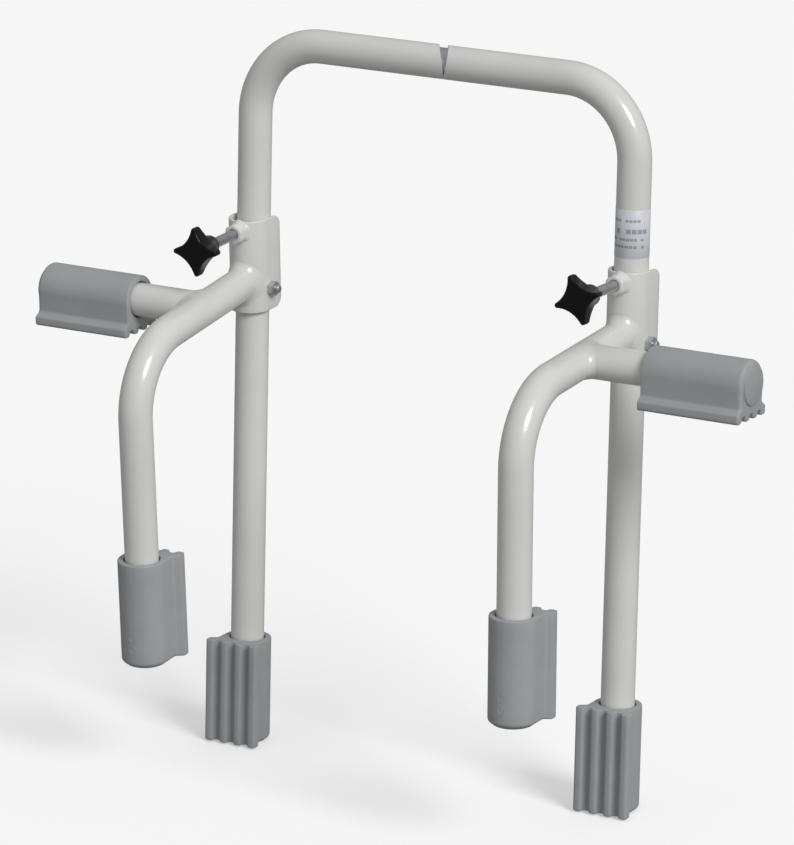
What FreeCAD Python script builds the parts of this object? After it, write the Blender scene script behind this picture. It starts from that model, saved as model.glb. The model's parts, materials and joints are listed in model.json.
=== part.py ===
import FreeCAD, Part

# Clamp-on bath grab rail: a U-shaped handle of round tube whose two legs hang down behind a bath wall,
# and on each leg a tilting clamp with a padded J-arm, a padded side stub and a star-knob screw.
#
# Frame: X to the right, Y to the rear, Z up, millimetres. The origin is midway between the legs, midway
# between the faces that grip the bath wall, and level with the rests that lie on the wall's rim.

import math
import os
import types

import Sketcher
from FreeCAD import Placement, Rotation, Vector

SIZES = {
    # tube and handle
    "tube_diameter": (25.0, "outside diameter of all frame tube"),
    "tube_wall": (2.0, "wall of all frame tube"),
    "leg_spacing": (315.6, "between the axes of the two legs"),
    "leg_setback": (82.0, "leg axes behind the origin"),
    "handle_height": (186.1, "bar axis above the pivot bolts"),
    "handle_bend": (55.6, "centreline radius of the handle's top bends"),
    "leg_drop": (344.0, "tube's lower end below the pivot bolts"),
    "joint_gap": (6.6, "V-gap between the handle halves, at the top of the bar"),
    "joint_depth": (21.8, "depth of that V-gap, from the top of the bar"),
    "joint_skew": (29.4, "the bar's cut turned this far from square, seen from above, degrees"),
    "spigot_diameter": (20.9, "outside diameter of the spigot inside the bar"),
    "spigot_bore": (17.0, "bore of the spigot"),
    "spigot_length": (90.0, "length of the spigot"),
    # clamp
    "tilt_left": (4.0, "left clamp closed this far about its bolt, degrees"),
    "tilt_right": (0.0, "right clamp closed this far about its bolt, degrees"),
    "bracket_radius": (12.9, "inside radius of the bracket's round front"),
    "bracket_wall": (2.5, "wall of the bracket"),
    "bracket_front": (3.0, "centre of that round front ahead of the leg axis"),
    "bracket_rear": (15.3, "rear edges of the bracket's two side plates behind the leg axis"),
    "bracket_top": (53.5, "top of the bracket above the pivot bolt"),
    "bracket_bottom": (17.0, "bottom of the bracket below the pivot bolt"),
    "bracket_corner": (8.0, "rounding of the side plates' rear corners"),
    "arm_height": (7.0, "arm axis above the pivot bolt, at the leg axis"),
    "arm_slope": (5.65, "fall of the arm towards the front, degrees"),
    "arm_bend": (54.0, "centreline radius of the arm's bend"),
    "arm_reach": (163.6, "arm's foot ahead of the leg axis, at its pad's mouth"),
    "arm_toe": (1.7, "foot of the arm leans back to the leg, degrees"),
    "arm_drop": (165.4, "arm pad's mouth below the pivot bolt"),
    "stub_reach": (70.5, "stub axis ahead of the leg axis"),
    "stub_start": (2.0, "stub drawn from here outward of the leg axis, then coped to the arm"),
    "stub_mouth": (54.8, "rest pad's mouth outward of the leg axis"),
    # pads
    "pad_length": (80.4, "length of each rubber pad"),
    "pad_diameter": (36.0, "outside diameter of each pad's sleeve"),
    "pad_mouth": (27.4, "diameter of the lead-in at each pad's mouth"),
    "pad_mouth_depth": (6.0, "depth of that lead-in"),
    "pad_end": (8.0, "rubber beyond the tube's end"),
    "pad_disc": (14.5, "radius of the raised disc on the closed end"),
    "pad_disc_height": (1.2, "height of that disc"),
    "leg_pad_drop": (271.7, "leg pad's mouth below the pivot bolts"),
    "rib_crest": (25.0, "ribs' contact plane from the pad's axis"),
    "rib_root": (20.8, "valleys between the ribs from the pad's axis"),
    "rib_pitch": (12.2, "between neighbouring ribs"),
    "rib_width": (7.4, "width of each rib"),
    "rib_round": (2.4, "rounding along each rib's crest"),
    "rib_overlap": (0.5, "ribs start this far inside the flange"),
    "flange_edge": (18.3, "upper edge of the ribbed flange from the pad's axis"),
    "pad_side": (17.9, "half width where the pad's flat sides leave the sleeve"),
    "flange_neck": (17.3, "half width at the neck above the flange"),
    "flange_neck_drop": (15.0, "that neck from the pad's axis"),
    # fasteners
    "pivot_diameter": (6.0, "pivot bolt M6"),
    "pivot_fit": (0.08, "running clearance of the bolt in the leg, on the radius"),
    "pivot_hole": (6.5, "bolt hole in the bracket"),
    "pivot_flats": (10.0, "across the flats of the bolt's head and nut"),
    "pivot_head": (4.0, "height of the bolt's head"),
    "pivot_nut": (5.0, "height of the nut"),
    "pivot_end": (3.0, "bolt beyond the nut"),
    "pivot_end_round": (0.5, "rounding of the bolt's end"),
    "chamfer_angle": (30.0, "corner chamfer of the bolt's head and of the nut, degrees"),
    "screw_height": (45.5, "clamp screw above the pivot bolt"),
    "screw_diameter": (7.9, "clamp screw M8 over its thread"),
    "screw_hole": (8.0, "weld nut's bore over the screw's thread"),
    "screw_passage": (8.8, "plain hole for the screw in the bracket's wall"),
    "weld_nut_flats": (14.0, "across the flats of the weld nut"),
    "weld_nut_face": (27.0, "weld nut's front face ahead of the leg axis"),
    "weld_nut_round": (0.8, "paint rounding of the weld nut's edges"),
    "tip_gap": (0.5, "between the thrust cap and the leg"),
    "cap_diameter": (6.4, "thrust cap on the screw's tip"),
    "cap_length": (5.0, "length of the thrust cap"),
    "cap_round": (2.2, "rounding of the thrust cap's nose"),
    "cap_bore": (4.2, "bore of the thrust cap"),
    "cap_bore_depth": (3.4, "depth of that bore"),
    "dog_diameter": (4.05, "turned-down point of the screw"),
    "dog_length": (3.4, "length of that point"),
    "shoulder_gap": (0.3, "between the thrust cap and the screw's shoulder"),
    "shoulder_round": (0.8, "rounding of that shoulder"),
    # star knob
    "knob_back": (71.0, "back of the star ahead of the leg axis, clamp untilted"),
    "knob_radius": (18.3, "centre to lobe tip"),
    "knob_height": (14.5, "thickness of the star at its hub"),
    "knob_back_rise": (5.6, "the lobes' backs slope this far forward to their tips"),
    "knob_hollow": (18.4, "radius of the hollows between the lobes"),
    "knob_hollow_reach": (28.7, "centres of those hollows from the axis"),
    "knob_tip_round": (1.6, "rounding of each lobe's two corners"),
    "knob_edge": (1.3, "rounding of the star's front edges"),
    "hub_radius": (8.5, "hub behind the star"),
    "hub_length": (10.0, "length of the hub"),
    "hub_round": (1.0, "rounding of the hub's rear edge"),
    "stud_depth": (9.0, "screw inside the star"),
    "knob_turn_left": (3.0, "lobes of the left knob turned from upright, degrees"),
    "knob_turn_right": (20.0, "lobes of the right knob turned from upright, degrees"),
    # rating label
    "label_bottom": (63.0, "label's lower edge above the pivot bolt"),
    "label_height": (35.0, "height of the label"),
    "label_thickness": (0.15, "thickness of the label"),
    "label_wrap": (300.0, "how far the label goes round the leg, degrees"),
}

# A sketch names the ends and the centre of a line, arc or circle by these numbers.
START, END, CENTRE = 1, 2, 3
# It names its own horizontal axis, with the origin as that axis's start, and its vertical axis by these.
ACROSS_AXIS, UP_AXIS = -1, -2
SIDES = {"left": -1, "right": 1}
# Cuts that run out of a part overshoot it by this much.
OVERSHOOT = 5.0
# A hexagon's outer face is flat over this share of its width, and the chamfer's cut clears the face by this.
CHAMFER_FACE = 0.95
CHAMFER_CLEARANCE = 0.2
# A cut has to take away at least this many cubic millimetres.
LEAST_CUT = 0.01
# Two lengths are the same if they differ by less than this.
CLOSE = 1e-3


class Size:
    """A number that also knows the spreadsheet expression that it comes from."""

    def __init__(self, value, words):
        self.value = float(value)
        self.words = words

    @staticmethod
    def of(thing):
        return thing if isinstance(thing, Size) else Size(thing, repr(float(thing)))

    def __add__(self, other):
        other = Size.of(other)
        return Size(self.value + other.value, f"({self.words} + {other.words})")

    def __sub__(self, other):
        other = Size.of(other)
        return Size(self.value - other.value, f"({self.words} - {other.words})")

    def __mul__(self, other):
        other = Size.of(other)
        return Size(self.value * other.value, f"({self.words} * {other.words})")

    def __truediv__(self, other):
        other = Size.of(other)
        return Size(self.value / other.value, f"({self.words} / {other.words})")

    def __neg__(self):
        return Size(-self.value, f"(-1 * {self.words})")

    def tan(self):
        return Size(math.tan(math.radians(self.value)), f"tan({self.words})")


def make_sheet(doc):
    """The driving dimensions as a spreadsheet, and a Size for each."""
    sheet = doc.addObject("Spreadsheet::Sheet", "Sizes")
    for row, (name, (value, meaning)) in enumerate(SIZES.items(), start=1):
        sheet.set(f"A{row}", meaning)
        sheet.set(f"B{row}", str(value))
        sheet.setAlias(f"B{row}", name)
    doc.recompute()
    return types.SimpleNamespace(**{name: Size(sheet.get(name), f"Sizes.{name}") for name in SIZES})


DOC = FreeCAD.newDocument("bath_grab_rail")
S = make_sheet(DOC)
TUBE_RADIUS = S.tube_diameter / 2
TUBE_BORE = TUBE_RADIUS - S.tube_wall
ARM_AT_STUB = S.arm_height - S.stub_reach * S.arm_slope.tan()
BRACKET_OUTER = S.bracket_radius + S.bracket_wall
# the ribs under an untilted rest pad are level with the origin
PIVOT_HEIGHT = S.rib_crest - ARM_AT_STUB


# ---------------------------------------------------------------- sketches


def new_body(label):
    body = DOC.addObject("PartDesign::Body", label)
    body.Label = label
    return body


def sketch_on(body, plane, shift=(0, 0, 0), lean=0, swing=0):
    """A sketch on one of the body's planes, shifted in it, leaned about its X or swung about its Y."""
    support = next(each for each in body.Origin.OriginFeatures if each.Role == plane)
    sketch = body.newObject("Sketcher::SketchObject", "Sketch")
    sketch.AttachmentSupport = (support, [""])
    sketch.MapMode = "FlatFace"
    shift, lean, swing = [Size.of(each) for each in shift], Size.of(lean), Size.of(swing)
    moved = Vector(*[each.value for each in shift])
    turn = swing if swing.value else lean
    axis = Vector(0, 1, 0) if swing.value else Vector(1, 0, 0)
    sketch.AttachmentOffset = Placement(moved, Rotation(axis, turn.value))
    for axis, distance in zip("xyz", shift):
        sketch.setExpression(f"AttachmentOffset.Base.{axis}", distance.words)
    if turn.value:
        sketch.setExpression("AttachmentOffset.Rotation.Angle", turn.words)
    return sketch


def fix(sketch, kind, where, size):
    """A dimension of the sketch, bound to the spreadsheet."""
    value = math.radians(size.value) if kind == "Angle" else size.value
    index = sketch.addConstraint(Sketcher.Constraint(kind, *where, value))
    sketch.setExpression(f"Constraints[{index}]", size.words)


def fix_point(sketch, geometry, point, across, up):
    """Holds a point of the sketch at two distances from its origin."""
    for kind, axis, size in (("DistanceX", UP_AXIS, across), ("DistanceY", ACROSS_AXIS, up)):
        size = Size.of(size)
        if size.value == 0:
            sketch.addConstraint(Sketcher.Constraint("PointOnObject", geometry, point, axis))
        elif size.value > 0:
            fix(sketch, kind, (ACROSS_AXIS, START, geometry, point), size)
        else:
            fix(sketch, kind, (geometry, point, ACROSS_AXIS, START), -size)


def circle(sketch, radius, across=0, up=0):
    across, up = Size.of(across), Size.of(up)
    round_line = Part.Circle(Vector(across.value, up.value, 0), Vector(0, 0, 1), radius.value)
    index = sketch.addGeometry(round_line)
    fix(sketch, "Radius", (index,), radius)
    fix_point(sketch, index, CENTRE, across, up)


def polygon(sketch, corners):
    """A closed outline of straight lines through the corners."""
    corners = [(Size.of(across), Size.of(up)) for across, up in corners]
    points = [Vector(across.value, up.value, 0) for across, up in corners]
    lines = [
        sketch.addGeometry(Part.LineSegment(point, points[(i + 1) % len(points)]))
        for i, point in enumerate(points)
    ]
    for i, line in enumerate(lines):
        following = lines[(i + 1) % len(lines)]
        sketch.addConstraint(Sketcher.Constraint("Coincident", line, END, following, START))
        fix_point(sketch, line, START, *corners[i])


def hexagon(sketch, flats, up=0):
    """A hexagon with two corners straight above and below its centre."""
    reach = flats / math.sqrt(3)
    turns = [math.radians(90 + 60 * i) for i in range(6)]
    corners = [(reach * math.cos(turn), reach * math.sin(turn) + up) for turn in turns]
    polygon(sketch, [(0 if abs(across.value) < 1e-6 else across, rise) for across, rise in corners])


def oval(sketch, radius):
    """The bracket's outline at a radius from its two centres, which lie on the sketch's vertical axis."""
    front, rear, r = -S.bracket_front, S.bracket_rear, radius.value
    flat = Vector(0, 0, 1)
    low, high = Vector(0, front.value, 0), Vector(0, rear.value, 0)
    out = Vector(r, 0, 0)
    front_arc = sketch.addGeometry(Part.ArcOfCircle(Part.Circle(low, flat, r), math.pi, 2 * math.pi))
    right_line = sketch.addGeometry(Part.LineSegment(low + out, high + out))
    rear_arc = sketch.addGeometry(Part.ArcOfCircle(Part.Circle(high, flat, r), 0, math.pi))
    left_line = sketch.addGeometry(Part.LineSegment(high - out, low - out))
    ring = [front_arc, right_line, rear_arc, left_line]
    for before, after in zip(ring, ring[1:] + ring[:1]):
        sketch.addConstraint(Sketcher.Constraint("Tangent", before, END, after, START))
    sketch.addConstraint(Sketcher.Constraint("Vertical", right_line))
    fix_point(sketch, front_arc, CENTRE, 0, front)
    fix_point(sketch, rear_arc, CENTRE, 0, rear)
    fix(sketch, "Radius", (front_arc,), radius)


def bent_path(sketch, start, first_angle, bend, second_angle, end):
    """A path that leaves its start at one angle, turns on one arc and reaches its end at another."""
    ways = [Vector(math.cos(a), math.sin(a), 0) for a in (math.radians(first_angle.value),
                                                         math.radians(second_angle.value))]
    first, last = [Vector(Size.of(x).value, Size.of(y).value, 0) for x, y in (start, end)]
    # where the two straight runs would cross
    gap, turn = last - first, ways[0].x * ways[1].y - ways[0].y * ways[1].x
    corner = first + ways[0] * ((gap.x * ways[1].y - gap.y * ways[1].x) / turn)
    setback = bend.value * math.tan(abs(ways[0].getAngle(ways[1])) / 2)
    entry, leave = corner - ways[0] * setback, corner + ways[1] * setback
    middle = corner + (ways[1] - ways[0]).normalize() * (
        math.hypot(setback, bend.value) - bend.value
    )
    run_in = sketch.addGeometry(Part.LineSegment(first, entry))
    curve = Part.Arc(entry, middle, leave)
    arc = sketch.addGeometry(curve)
    run_out = sketch.addGeometry(Part.LineSegment(leave, last))
    # an arc always runs anticlockwise, so a path that turns right meets its end first
    ends = (START, END) if turn > 0 else (END, START)
    sketch.addConstraint(Sketcher.Constraint("Tangent", run_in, END, arc, ends[0]))
    sketch.addConstraint(Sketcher.Constraint("Tangent", arc, ends[1], run_out, START))
    fix_point(sketch, run_in, START, *start)
    fix_point(sketch, run_out, END, *end)
    fix(sketch, "Angle", (run_in,), first_angle)
    fix(sketch, "Angle", (run_out,), second_angle)
    fix(sketch, "Radius", (arc,), bend)


# ---------------------------------------------------------------- features


def finish(body, feature):
    """Recomputes a new feature and makes it the body's tip."""
    body.Tip = feature
    DOC.recompute()
    return feature


def pad(body, sketch, length, backward=False, both_ways=False):
    feature = body.newObject("PartDesign::Pad", "Pad")
    feature.Profile = sketch
    feature.setExpression("Length", Size.of(length).words)
    feature.Reversed = backward
    feature.SideType = "Symmetric" if both_ways else "One side"
    return finish(body, feature)


def pocket(body, sketch, depth=None, backward=False):
    """Cuts a sketch to a depth, or right through both ways, and makes sure that it cut something."""
    before = body.Shape.Volume
    feature = body.newObject("PartDesign::Pocket", "Pocket")
    feature.Profile = sketch
    feature.Reversed = backward
    if depth is None:
        feature.Type = "ThroughAll"
        feature.SideType = "Symmetric"
    else:
        feature.setExpression("Length", Size.of(depth).words)
    finish(body, feature)
    if body.Shape.Volume > before - LEAST_CUT:
        raise RuntimeError(f"{body.Label}: {feature.Name} cut nothing")
    return feature


def turn_off(body, sketch, axis):
    """Cuts a sketch turned about one of its own axes."""
    before = body.Shape.Volume
    feature = body.newObject("PartDesign::Groove", "Groove")
    feature.Profile = sketch
    feature.ReferenceAxis = (sketch, [axis])
    finish(body, feature)
    if body.Shape.Volume > before - LEAST_CUT:
        raise RuntimeError(f"{body.Label}: {feature.Name} cut nothing")


def round_edges(body, radius, chosen):
    """Rounds those edges of the body for which chosen(edge) holds."""
    base = body.Tip
    names = [f"Edge{i}" for i, edge in enumerate(base.Shape.Edges, start=1) if chosen(edge)]
    feature = body.newObject("PartDesign::Fillet", "Fillet")
    feature.Base = (base, names)
    feature.setExpression("Radius", radius.words)
    return finish(body, feature)


def pipe(body, section, path):
    feature = body.newObject("PartDesign::AdditivePipe", "Pipe")
    feature.Profile = section
    feature.Spine = (path, [f"Edge{i}" for i in range(1, len(path.Geometry) + 1)])
    return finish(body, feature)


def tube_section(sketch, across=0, up=0):
    circle(sketch, TUBE_RADIUS, across, up)
    circle(sketch, TUBE_BORE, across, up)


def lies_at(edge, axis, value):
    """Does an edge lie in the plane where this coordinate has this value?"""
    box = edge.BoundBox
    low, high = getattr(box, f"{axis}Min"), getattr(box, f"{axis}Max")
    return abs(low - value) < CLOSE and abs(high - value) < CLOSE


# ---------------------------------------------------------------- handle


def handle_frame():
    """Where the handle's own origin lies: between the two pivot bolts."""
    return Vector(0, S.leg_setback.value, PIVOT_HEIGHT.value)


def handle_half(name, side):
    """Leg, top bend and half of the bar. The left half is the right one turned round."""
    body = new_body(name)
    leg = S.leg_spacing / 2
    bar_top = S.handle_height + TUBE_RADIUS
    section = sketch_on(body, "XY_Plane", shift=(0, 0, -S.leg_drop))
    tube_section(section, across=leg)
    path = sketch_on(body, "XZ_Plane")
    overrun = TUBE_RADIUS * S.joint_skew.tan() + OVERSHOOT
    end = (-overrun, S.handle_height)
    bent_path(path, (leg, -S.leg_drop), Size.of(90), S.handle_bend, Size.of(180), end)
    pipe(body, section, path)

    # the bar's end is cut askew, and back at a slant, so that the two halves leave a V-gap
    wedge = sketch_on(body, "XZ_Plane", swing=S.joint_skew)
    slant = S.joint_gap / 2 / S.joint_depth
    above = S.joint_depth + OVERSHOOT
    rise = bar_top - S.joint_depth
    beyond, below = -S.tube_diameter, rise - S.tube_diameter
    polygon(wedge, [(0, below), (0, rise), (slant * above, rise + above),
                    (beyond, rise + above), (beyond, below)])
    pocket(body, wedge)

    bolt_hole = sketch_on(body, "YZ_Plane", shift=(0, 0, leg))
    circle(bolt_hole, S.pivot_diameter / 2 + S.pivot_fit)
    pocket(body, bolt_hole)
    turned = Rotation(Vector(0, 0, 1), 0 if side > 0 else 180)
    body.Placement = Placement(handle_frame(), turned)
    return body


def handle_spigot():
    """The plain tube inside the bar that joins the two halves."""
    body = new_body("handle_spigot")
    ring = sketch_on(body, "YZ_Plane")
    circle(ring, S.spigot_diameter / 2, up=S.handle_height)
    circle(ring, S.spigot_bore / 2, up=S.handle_height)
    pad(body, ring, S.spigot_length, both_ways=True)
    body.Placement = Placement(handle_frame(), Rotation())
    return body


def rating_label():
    """A thin blank label wrapped round the right leg, open at the back."""
    body = new_body("rating_label")
    strip = sketch_on(body, "XZ_Plane")
    inner, outer = TUBE_RADIUS, TUBE_RADIUS + S.label_thickness
    low, high = S.label_bottom, S.label_bottom + S.label_height
    polygon(strip, [(inner, low), (outer, low), (outer, high), (inner, high)])
    wrap = body.newObject("PartDesign::Revolution", "Wrap")
    wrap.Profile = strip
    wrap.ReferenceAxis = (strip, ["V_Axis"])
    wrap.setExpression("Angle", S.label_wrap.words)
    finish(body, wrap)
    opening_at_back = Rotation(Vector(0, 0, 1), 90 + (360 - S.label_wrap.value) / 2)
    place = handle_frame() + Vector(S.leg_spacing.value / 2, 0, 0)
    body.Placement = Placement(place, opening_at_back)
    return body


# ---------------------------------------------------------------- pads


def ribbed_pad(name, place):
    """A rubber sleeve with a closed end, a raised disc there, and a flange with four ribs along one side.

    Its own origin is on its axis at the mouth, the closed end is at -Z and the ribs face -Y.
    """
    body = new_body(name)
    sleeve_length = S.pad_length - S.pad_disc_height
    half_width = S.rib_pitch * 1.5 + S.rib_width / 2
    side, drop = S.pad_side, -S.flange_neck_drop

    sleeve = sketch_on(body, "XY_Plane")
    circle(sleeve, S.pad_diameter / 2)
    pad(body, sleeve, sleeve_length, backward=True)

    flange = sketch_on(body, "XY_Plane")
    neck, edge, root = S.flange_neck, -S.flange_edge, -S.rib_root
    polygon(flange, [(-side, 0), (side, 0), (neck, drop), (half_width, edge), (half_width, root),
                     (-half_width, root), (-half_width, edge), (-neck, drop)])
    pad(body, flange, sleeve_length, backward=True)

    ribs = sketch_on(body, "XY_Plane")
    for i in range(4):
        middle = S.rib_pitch * (i - 1.5)
        low, high = middle - S.rib_width / 2, middle + S.rib_width / 2
        inside = root + S.rib_overlap
        polygon(ribs, [(low, -S.rib_crest), (high, -S.rib_crest), (high, inside), (low, inside)])
    pad(body, ribs, sleeve_length, backward=True)

    def along_a_crest(edge):
        return edge.BoundBox.ZLength > S.pad_length.value / 2 and lies_at(edge, "Y", -S.rib_crest.value)

    round_edges(body, S.rib_round, along_a_crest)

    disc = sketch_on(body, "XY_Plane", shift=(0, 0, -sleeve_length))
    circle(disc, S.pad_disc)
    pad(body, disc, S.pad_disc_height, backward=True)

    for radius, depth in ((S.pad_mouth / 2, S.pad_mouth_depth), (TUBE_RADIUS, S.pad_length - S.pad_end)):
        bore = sketch_on(body, "XY_Plane")
        circle(bore, radius)
        pocket(body, bore, depth)
    body.Placement = place
    return body


def leg_pad(side_name, side):
    """The pad on a leg's lower end, with its ribs to the front."""
    place = handle_frame() + Vector(side * S.leg_spacing.value / 2, 0, -S.leg_pad_drop.value)
    return ribbed_pad(f"leg_pad_{side_name}", Placement(place, Rotation()))


# ---------------------------------------------------------------- clamps


def clamp_tilt(side):
    return S.tilt_left if side < 0 else S.tilt_right


def clamp_place(side):
    """Where a clamp's own origin lies, on its pivot bolt and its leg's axis, and how it is tilted."""
    middle = handle_frame() + Vector(side * S.leg_spacing.value / 2, 0, 0)
    return Placement(middle, Rotation(Vector(1, 0, 0), clamp_tilt(side).value))


def bracket(name, side):
    """The U-shaped plate round the leg, with rounded rear corners, bolt holes and the screw's passage."""
    body = new_body(name)
    outline = sketch_on(body, "XY_Plane", shift=(0, 0, -S.bracket_bottom))
    oval(outline, BRACKET_OUTER)
    oval(outline, S.bracket_radius)
    pad(body, outline, S.bracket_top + S.bracket_bottom)

    rear = S.bracket_rear
    opening = sketch_on(body, "XY_Plane")
    wide, far_back = BRACKET_OUTER + OVERSHOOT, rear + BRACKET_OUTER + OVERSHOOT
    polygon(opening, [(-wide, rear), (wide, rear), (wide, far_back), (-wide, far_back)])
    pocket(body, opening)
    for level, up in ((S.bracket_top, 1), (-S.bracket_bottom, -1)):
        corner = sketch_on(body, "YZ_Plane")
        inner_rise = level - S.bracket_corner * up
        centre = Vector((rear - S.bracket_corner).value, inner_rise.value, 0)
        round_line = Part.Circle(centre, Vector(0, 0, 1), S.bracket_corner.value)
        turns = (0, math.pi / 2) if up > 0 else (-math.pi / 2, 0)
        arc = corner.addGeometry(Part.ArcOfCircle(round_line, *turns))
        rear_end, level_end = (START, END) if up > 0 else (END, START)
        far, beyond = rear + OVERSHOOT, level + OVERSHOOT * up
        stops = [(rear, inner_rise), (far, inner_rise), (far, beyond),
                 (rear - S.bracket_corner, beyond), (rear - S.bracket_corner, level)]
        points = [Vector(across.value, rise.value, 0) for across, rise in stops]
        lines = [corner.addGeometry(Part.LineSegment(*pair)) for pair in zip(points, points[1:])]
        for before, after in zip(lines, lines[1:]):
            corner.addConstraint(Sketcher.Constraint("Coincident", before, END, after, START))
        corner.addConstraint(Sketcher.Constraint("Coincident", arc, rear_end, lines[0], START))
        corner.addConstraint(Sketcher.Constraint("Coincident", arc, level_end, lines[-1], END))
        for line, stop in zip(lines, stops):
            fix_point(corner, line, START, *stop)
        fix_point(corner, lines[-1], END, *stops[-1])
        fix(corner, "Radius", (arc,), S.bracket_corner)
        pocket(body, corner)

    bolt_holes = sketch_on(body, "YZ_Plane")
    circle(bolt_holes, S.pivot_hole / 2)
    pocket(body, bolt_holes)

    passage = sketch_on(body, "XZ_Plane")
    circle(passage, S.screw_passage / 2, up=S.screw_height)
    pocket(body, passage, S.weld_nut_face, backward=True)
    body.Placement = clamp_place(side)
    return body


def cut_by_bracket(body):
    """Cuts a part back to the bracket's outer face."""
    outline = sketch_on(body, "XY_Plane")
    oval(outline, BRACKET_OUTER)
    pocket(body, outline)


def clamp_arm(name, side):
    """The J-arm: forward and slightly down from the bracket, then down to its foot."""
    body = new_body(name)
    section = sketch_on(body, "XZ_Plane", shift=(0, S.arm_height, 0), lean=S.arm_slope)
    tube_section(section)
    path = sketch_on(body, "YZ_Plane")
    foot = S.pad_length - S.pad_end
    end = (-S.arm_reach + S.arm_toe.tan() * foot, -S.arm_drop - foot)
    bent_path(path, (0, S.arm_height), S.arm_slope + 180, S.arm_bend, S.arm_toe + 270, end)
    pipe(body, section, path)
    cut_by_bracket(body)
    body.Placement = clamp_place(side)
    return body


def rest_stub(name, side):
    """The short tube that leaves the arm sideways and carries the rest pad."""
    body = new_body(name)
    section = sketch_on(body, "YZ_Plane", shift=(0, 0, S.stub_start * side))
    tube_section(section, across=-S.stub_reach, up=ARM_AT_STUB)
    length = S.stub_mouth + S.pad_length - S.pad_end - S.stub_start
    pad(body, section, length, backward=side < 0)
    saddle = sketch_on(body, "XZ_Plane", shift=(0, S.arm_height, 0), lean=S.arm_slope)
    circle(saddle, TUBE_RADIUS)
    pocket(body, saddle)
    body.Placement = clamp_place(side)
    return body


def arm_pad(name, side):
    """The pad on the arm's foot, with its ribs to the rear."""
    mouth = Vector(0, -S.arm_reach.value, -S.arm_drop.value)
    leaned = Rotation(Vector(1, 0, 0), S.arm_toe.value)
    turned = Rotation(Vector(0, 0, 1), 180)
    return ribbed_pad(name, clamp_place(side) * Placement(mouth, leaned * turned))


def rest_pad(name, side):
    """The pad on the stub, with its closed end outward and its ribs down."""
    mouth = Vector(side * S.stub_mouth.value, -S.stub_reach.value, ARM_AT_STUB.value)
    ribs_down = Rotation(Vector(1, 0, 0), 90)
    turned = Rotation(Vector(0, 0, 1), -90 * side)
    return ribbed_pad(name, clamp_place(side) * Placement(mouth, turned * ribs_down))


def weld_nut(name, side):
    """The hexagon nut on the bracket's front, coped to its round face."""
    body = new_body(name)
    outline = sketch_on(body, "XZ_Plane", shift=(0, 0, S.weld_nut_face))
    hexagon(outline, S.weld_nut_flats, up=S.screw_height)
    pad(body, outline, S.weld_nut_face - S.bracket_front, backward=True)

    def painted_edge(edge):
        runs_back = edge.BoundBox.YLength > S.weld_nut_flats.value / 2
        return runs_back or lies_at(edge, "Y", -S.weld_nut_face.value)

    round_edges(body, S.weld_nut_round, painted_edge)
    cut_by_bracket(body)
    bore = sketch_on(body, "XZ_Plane")
    circle(bore, S.screw_hole / 2, up=S.screw_height)
    pocket(body, bore)
    body.Placement = clamp_place(side)
    return body


def chamfer_hexagon(body, flats, face, outward):
    """Cuts a hexagon's corners to a cone at its outer face, which is at this distance along X."""
    cut = sketch_on(body, "XY_Plane")
    inner, outer = flats / 2 * CHAMFER_FACE, flats / math.sqrt(3) + CHAMFER_CLEARANCE
    fall = (outer - inner) * S.chamfer_angle.tan()
    above, below = face + CHAMFER_CLEARANCE * outward, face - fall * outward
    polygon(cut, [(face, inner), (above, outer), (below, outer)])
    turn_off(body, cut, "H_Axis")


def pivot_bolt(name, side):
    """The hexagon bolt through bracket and leg, with its head on the left."""
    body = new_body(name)
    head = sketch_on(body, "YZ_Plane", shift=(0, 0, -BRACKET_OUTER))
    hexagon(head, S.pivot_flats)
    pad(body, head, S.pivot_head, backward=True)
    chamfer_hexagon(body, S.pivot_flats, -BRACKET_OUTER - S.pivot_head, -1)
    shank = sketch_on(body, "YZ_Plane", shift=(0, 0, -BRACKET_OUTER))
    circle(shank, S.pivot_diameter / 2)
    pad(body, shank, BRACKET_OUTER * 2 + S.pivot_nut + S.pivot_end)
    end = (BRACKET_OUTER + S.pivot_nut + S.pivot_end).value
    round_edges(body, S.pivot_end_round, lambda edge: lies_at(edge, "X", end))
    body.Placement = clamp_place(side)
    return body


def pivot_nut(name, side):
    """The nut on the bolt's right end."""
    body = new_body(name)
    outline = sketch_on(body, "YZ_Plane", shift=(0, 0, BRACKET_OUTER))
    hexagon(outline, S.pivot_flats)
    pad(body, outline, S.pivot_nut)
    chamfer_hexagon(body, S.pivot_flats, BRACKET_OUTER + S.pivot_nut, 1)
    bore = sketch_on(body, "YZ_Plane")
    circle(bore, S.pivot_diameter / 2)
    pocket(body, bore)
    body.Placement = clamp_place(side)
    return body


# ---------------------------------------------------------------- clamp screws


def screw_place(side, ahead, turn=0.0):
    """A place on the screw's axis, this far ahead of the leg axis before the clamp is tilted.

    The place's +Z points out of the bracket along the screw. A tilted clamp's screw is further in.
    """
    advance = S.screw_height.value * math.tan(math.radians(clamp_tilt(side).value))
    point = Vector(0, advance - ahead.value, S.screw_height.value)
    outward = Rotation(Vector(1, 0, 0), 90)
    return clamp_place(side) * Placement(point, outward * Rotation(Vector(0, 0, 1), turn))


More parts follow.
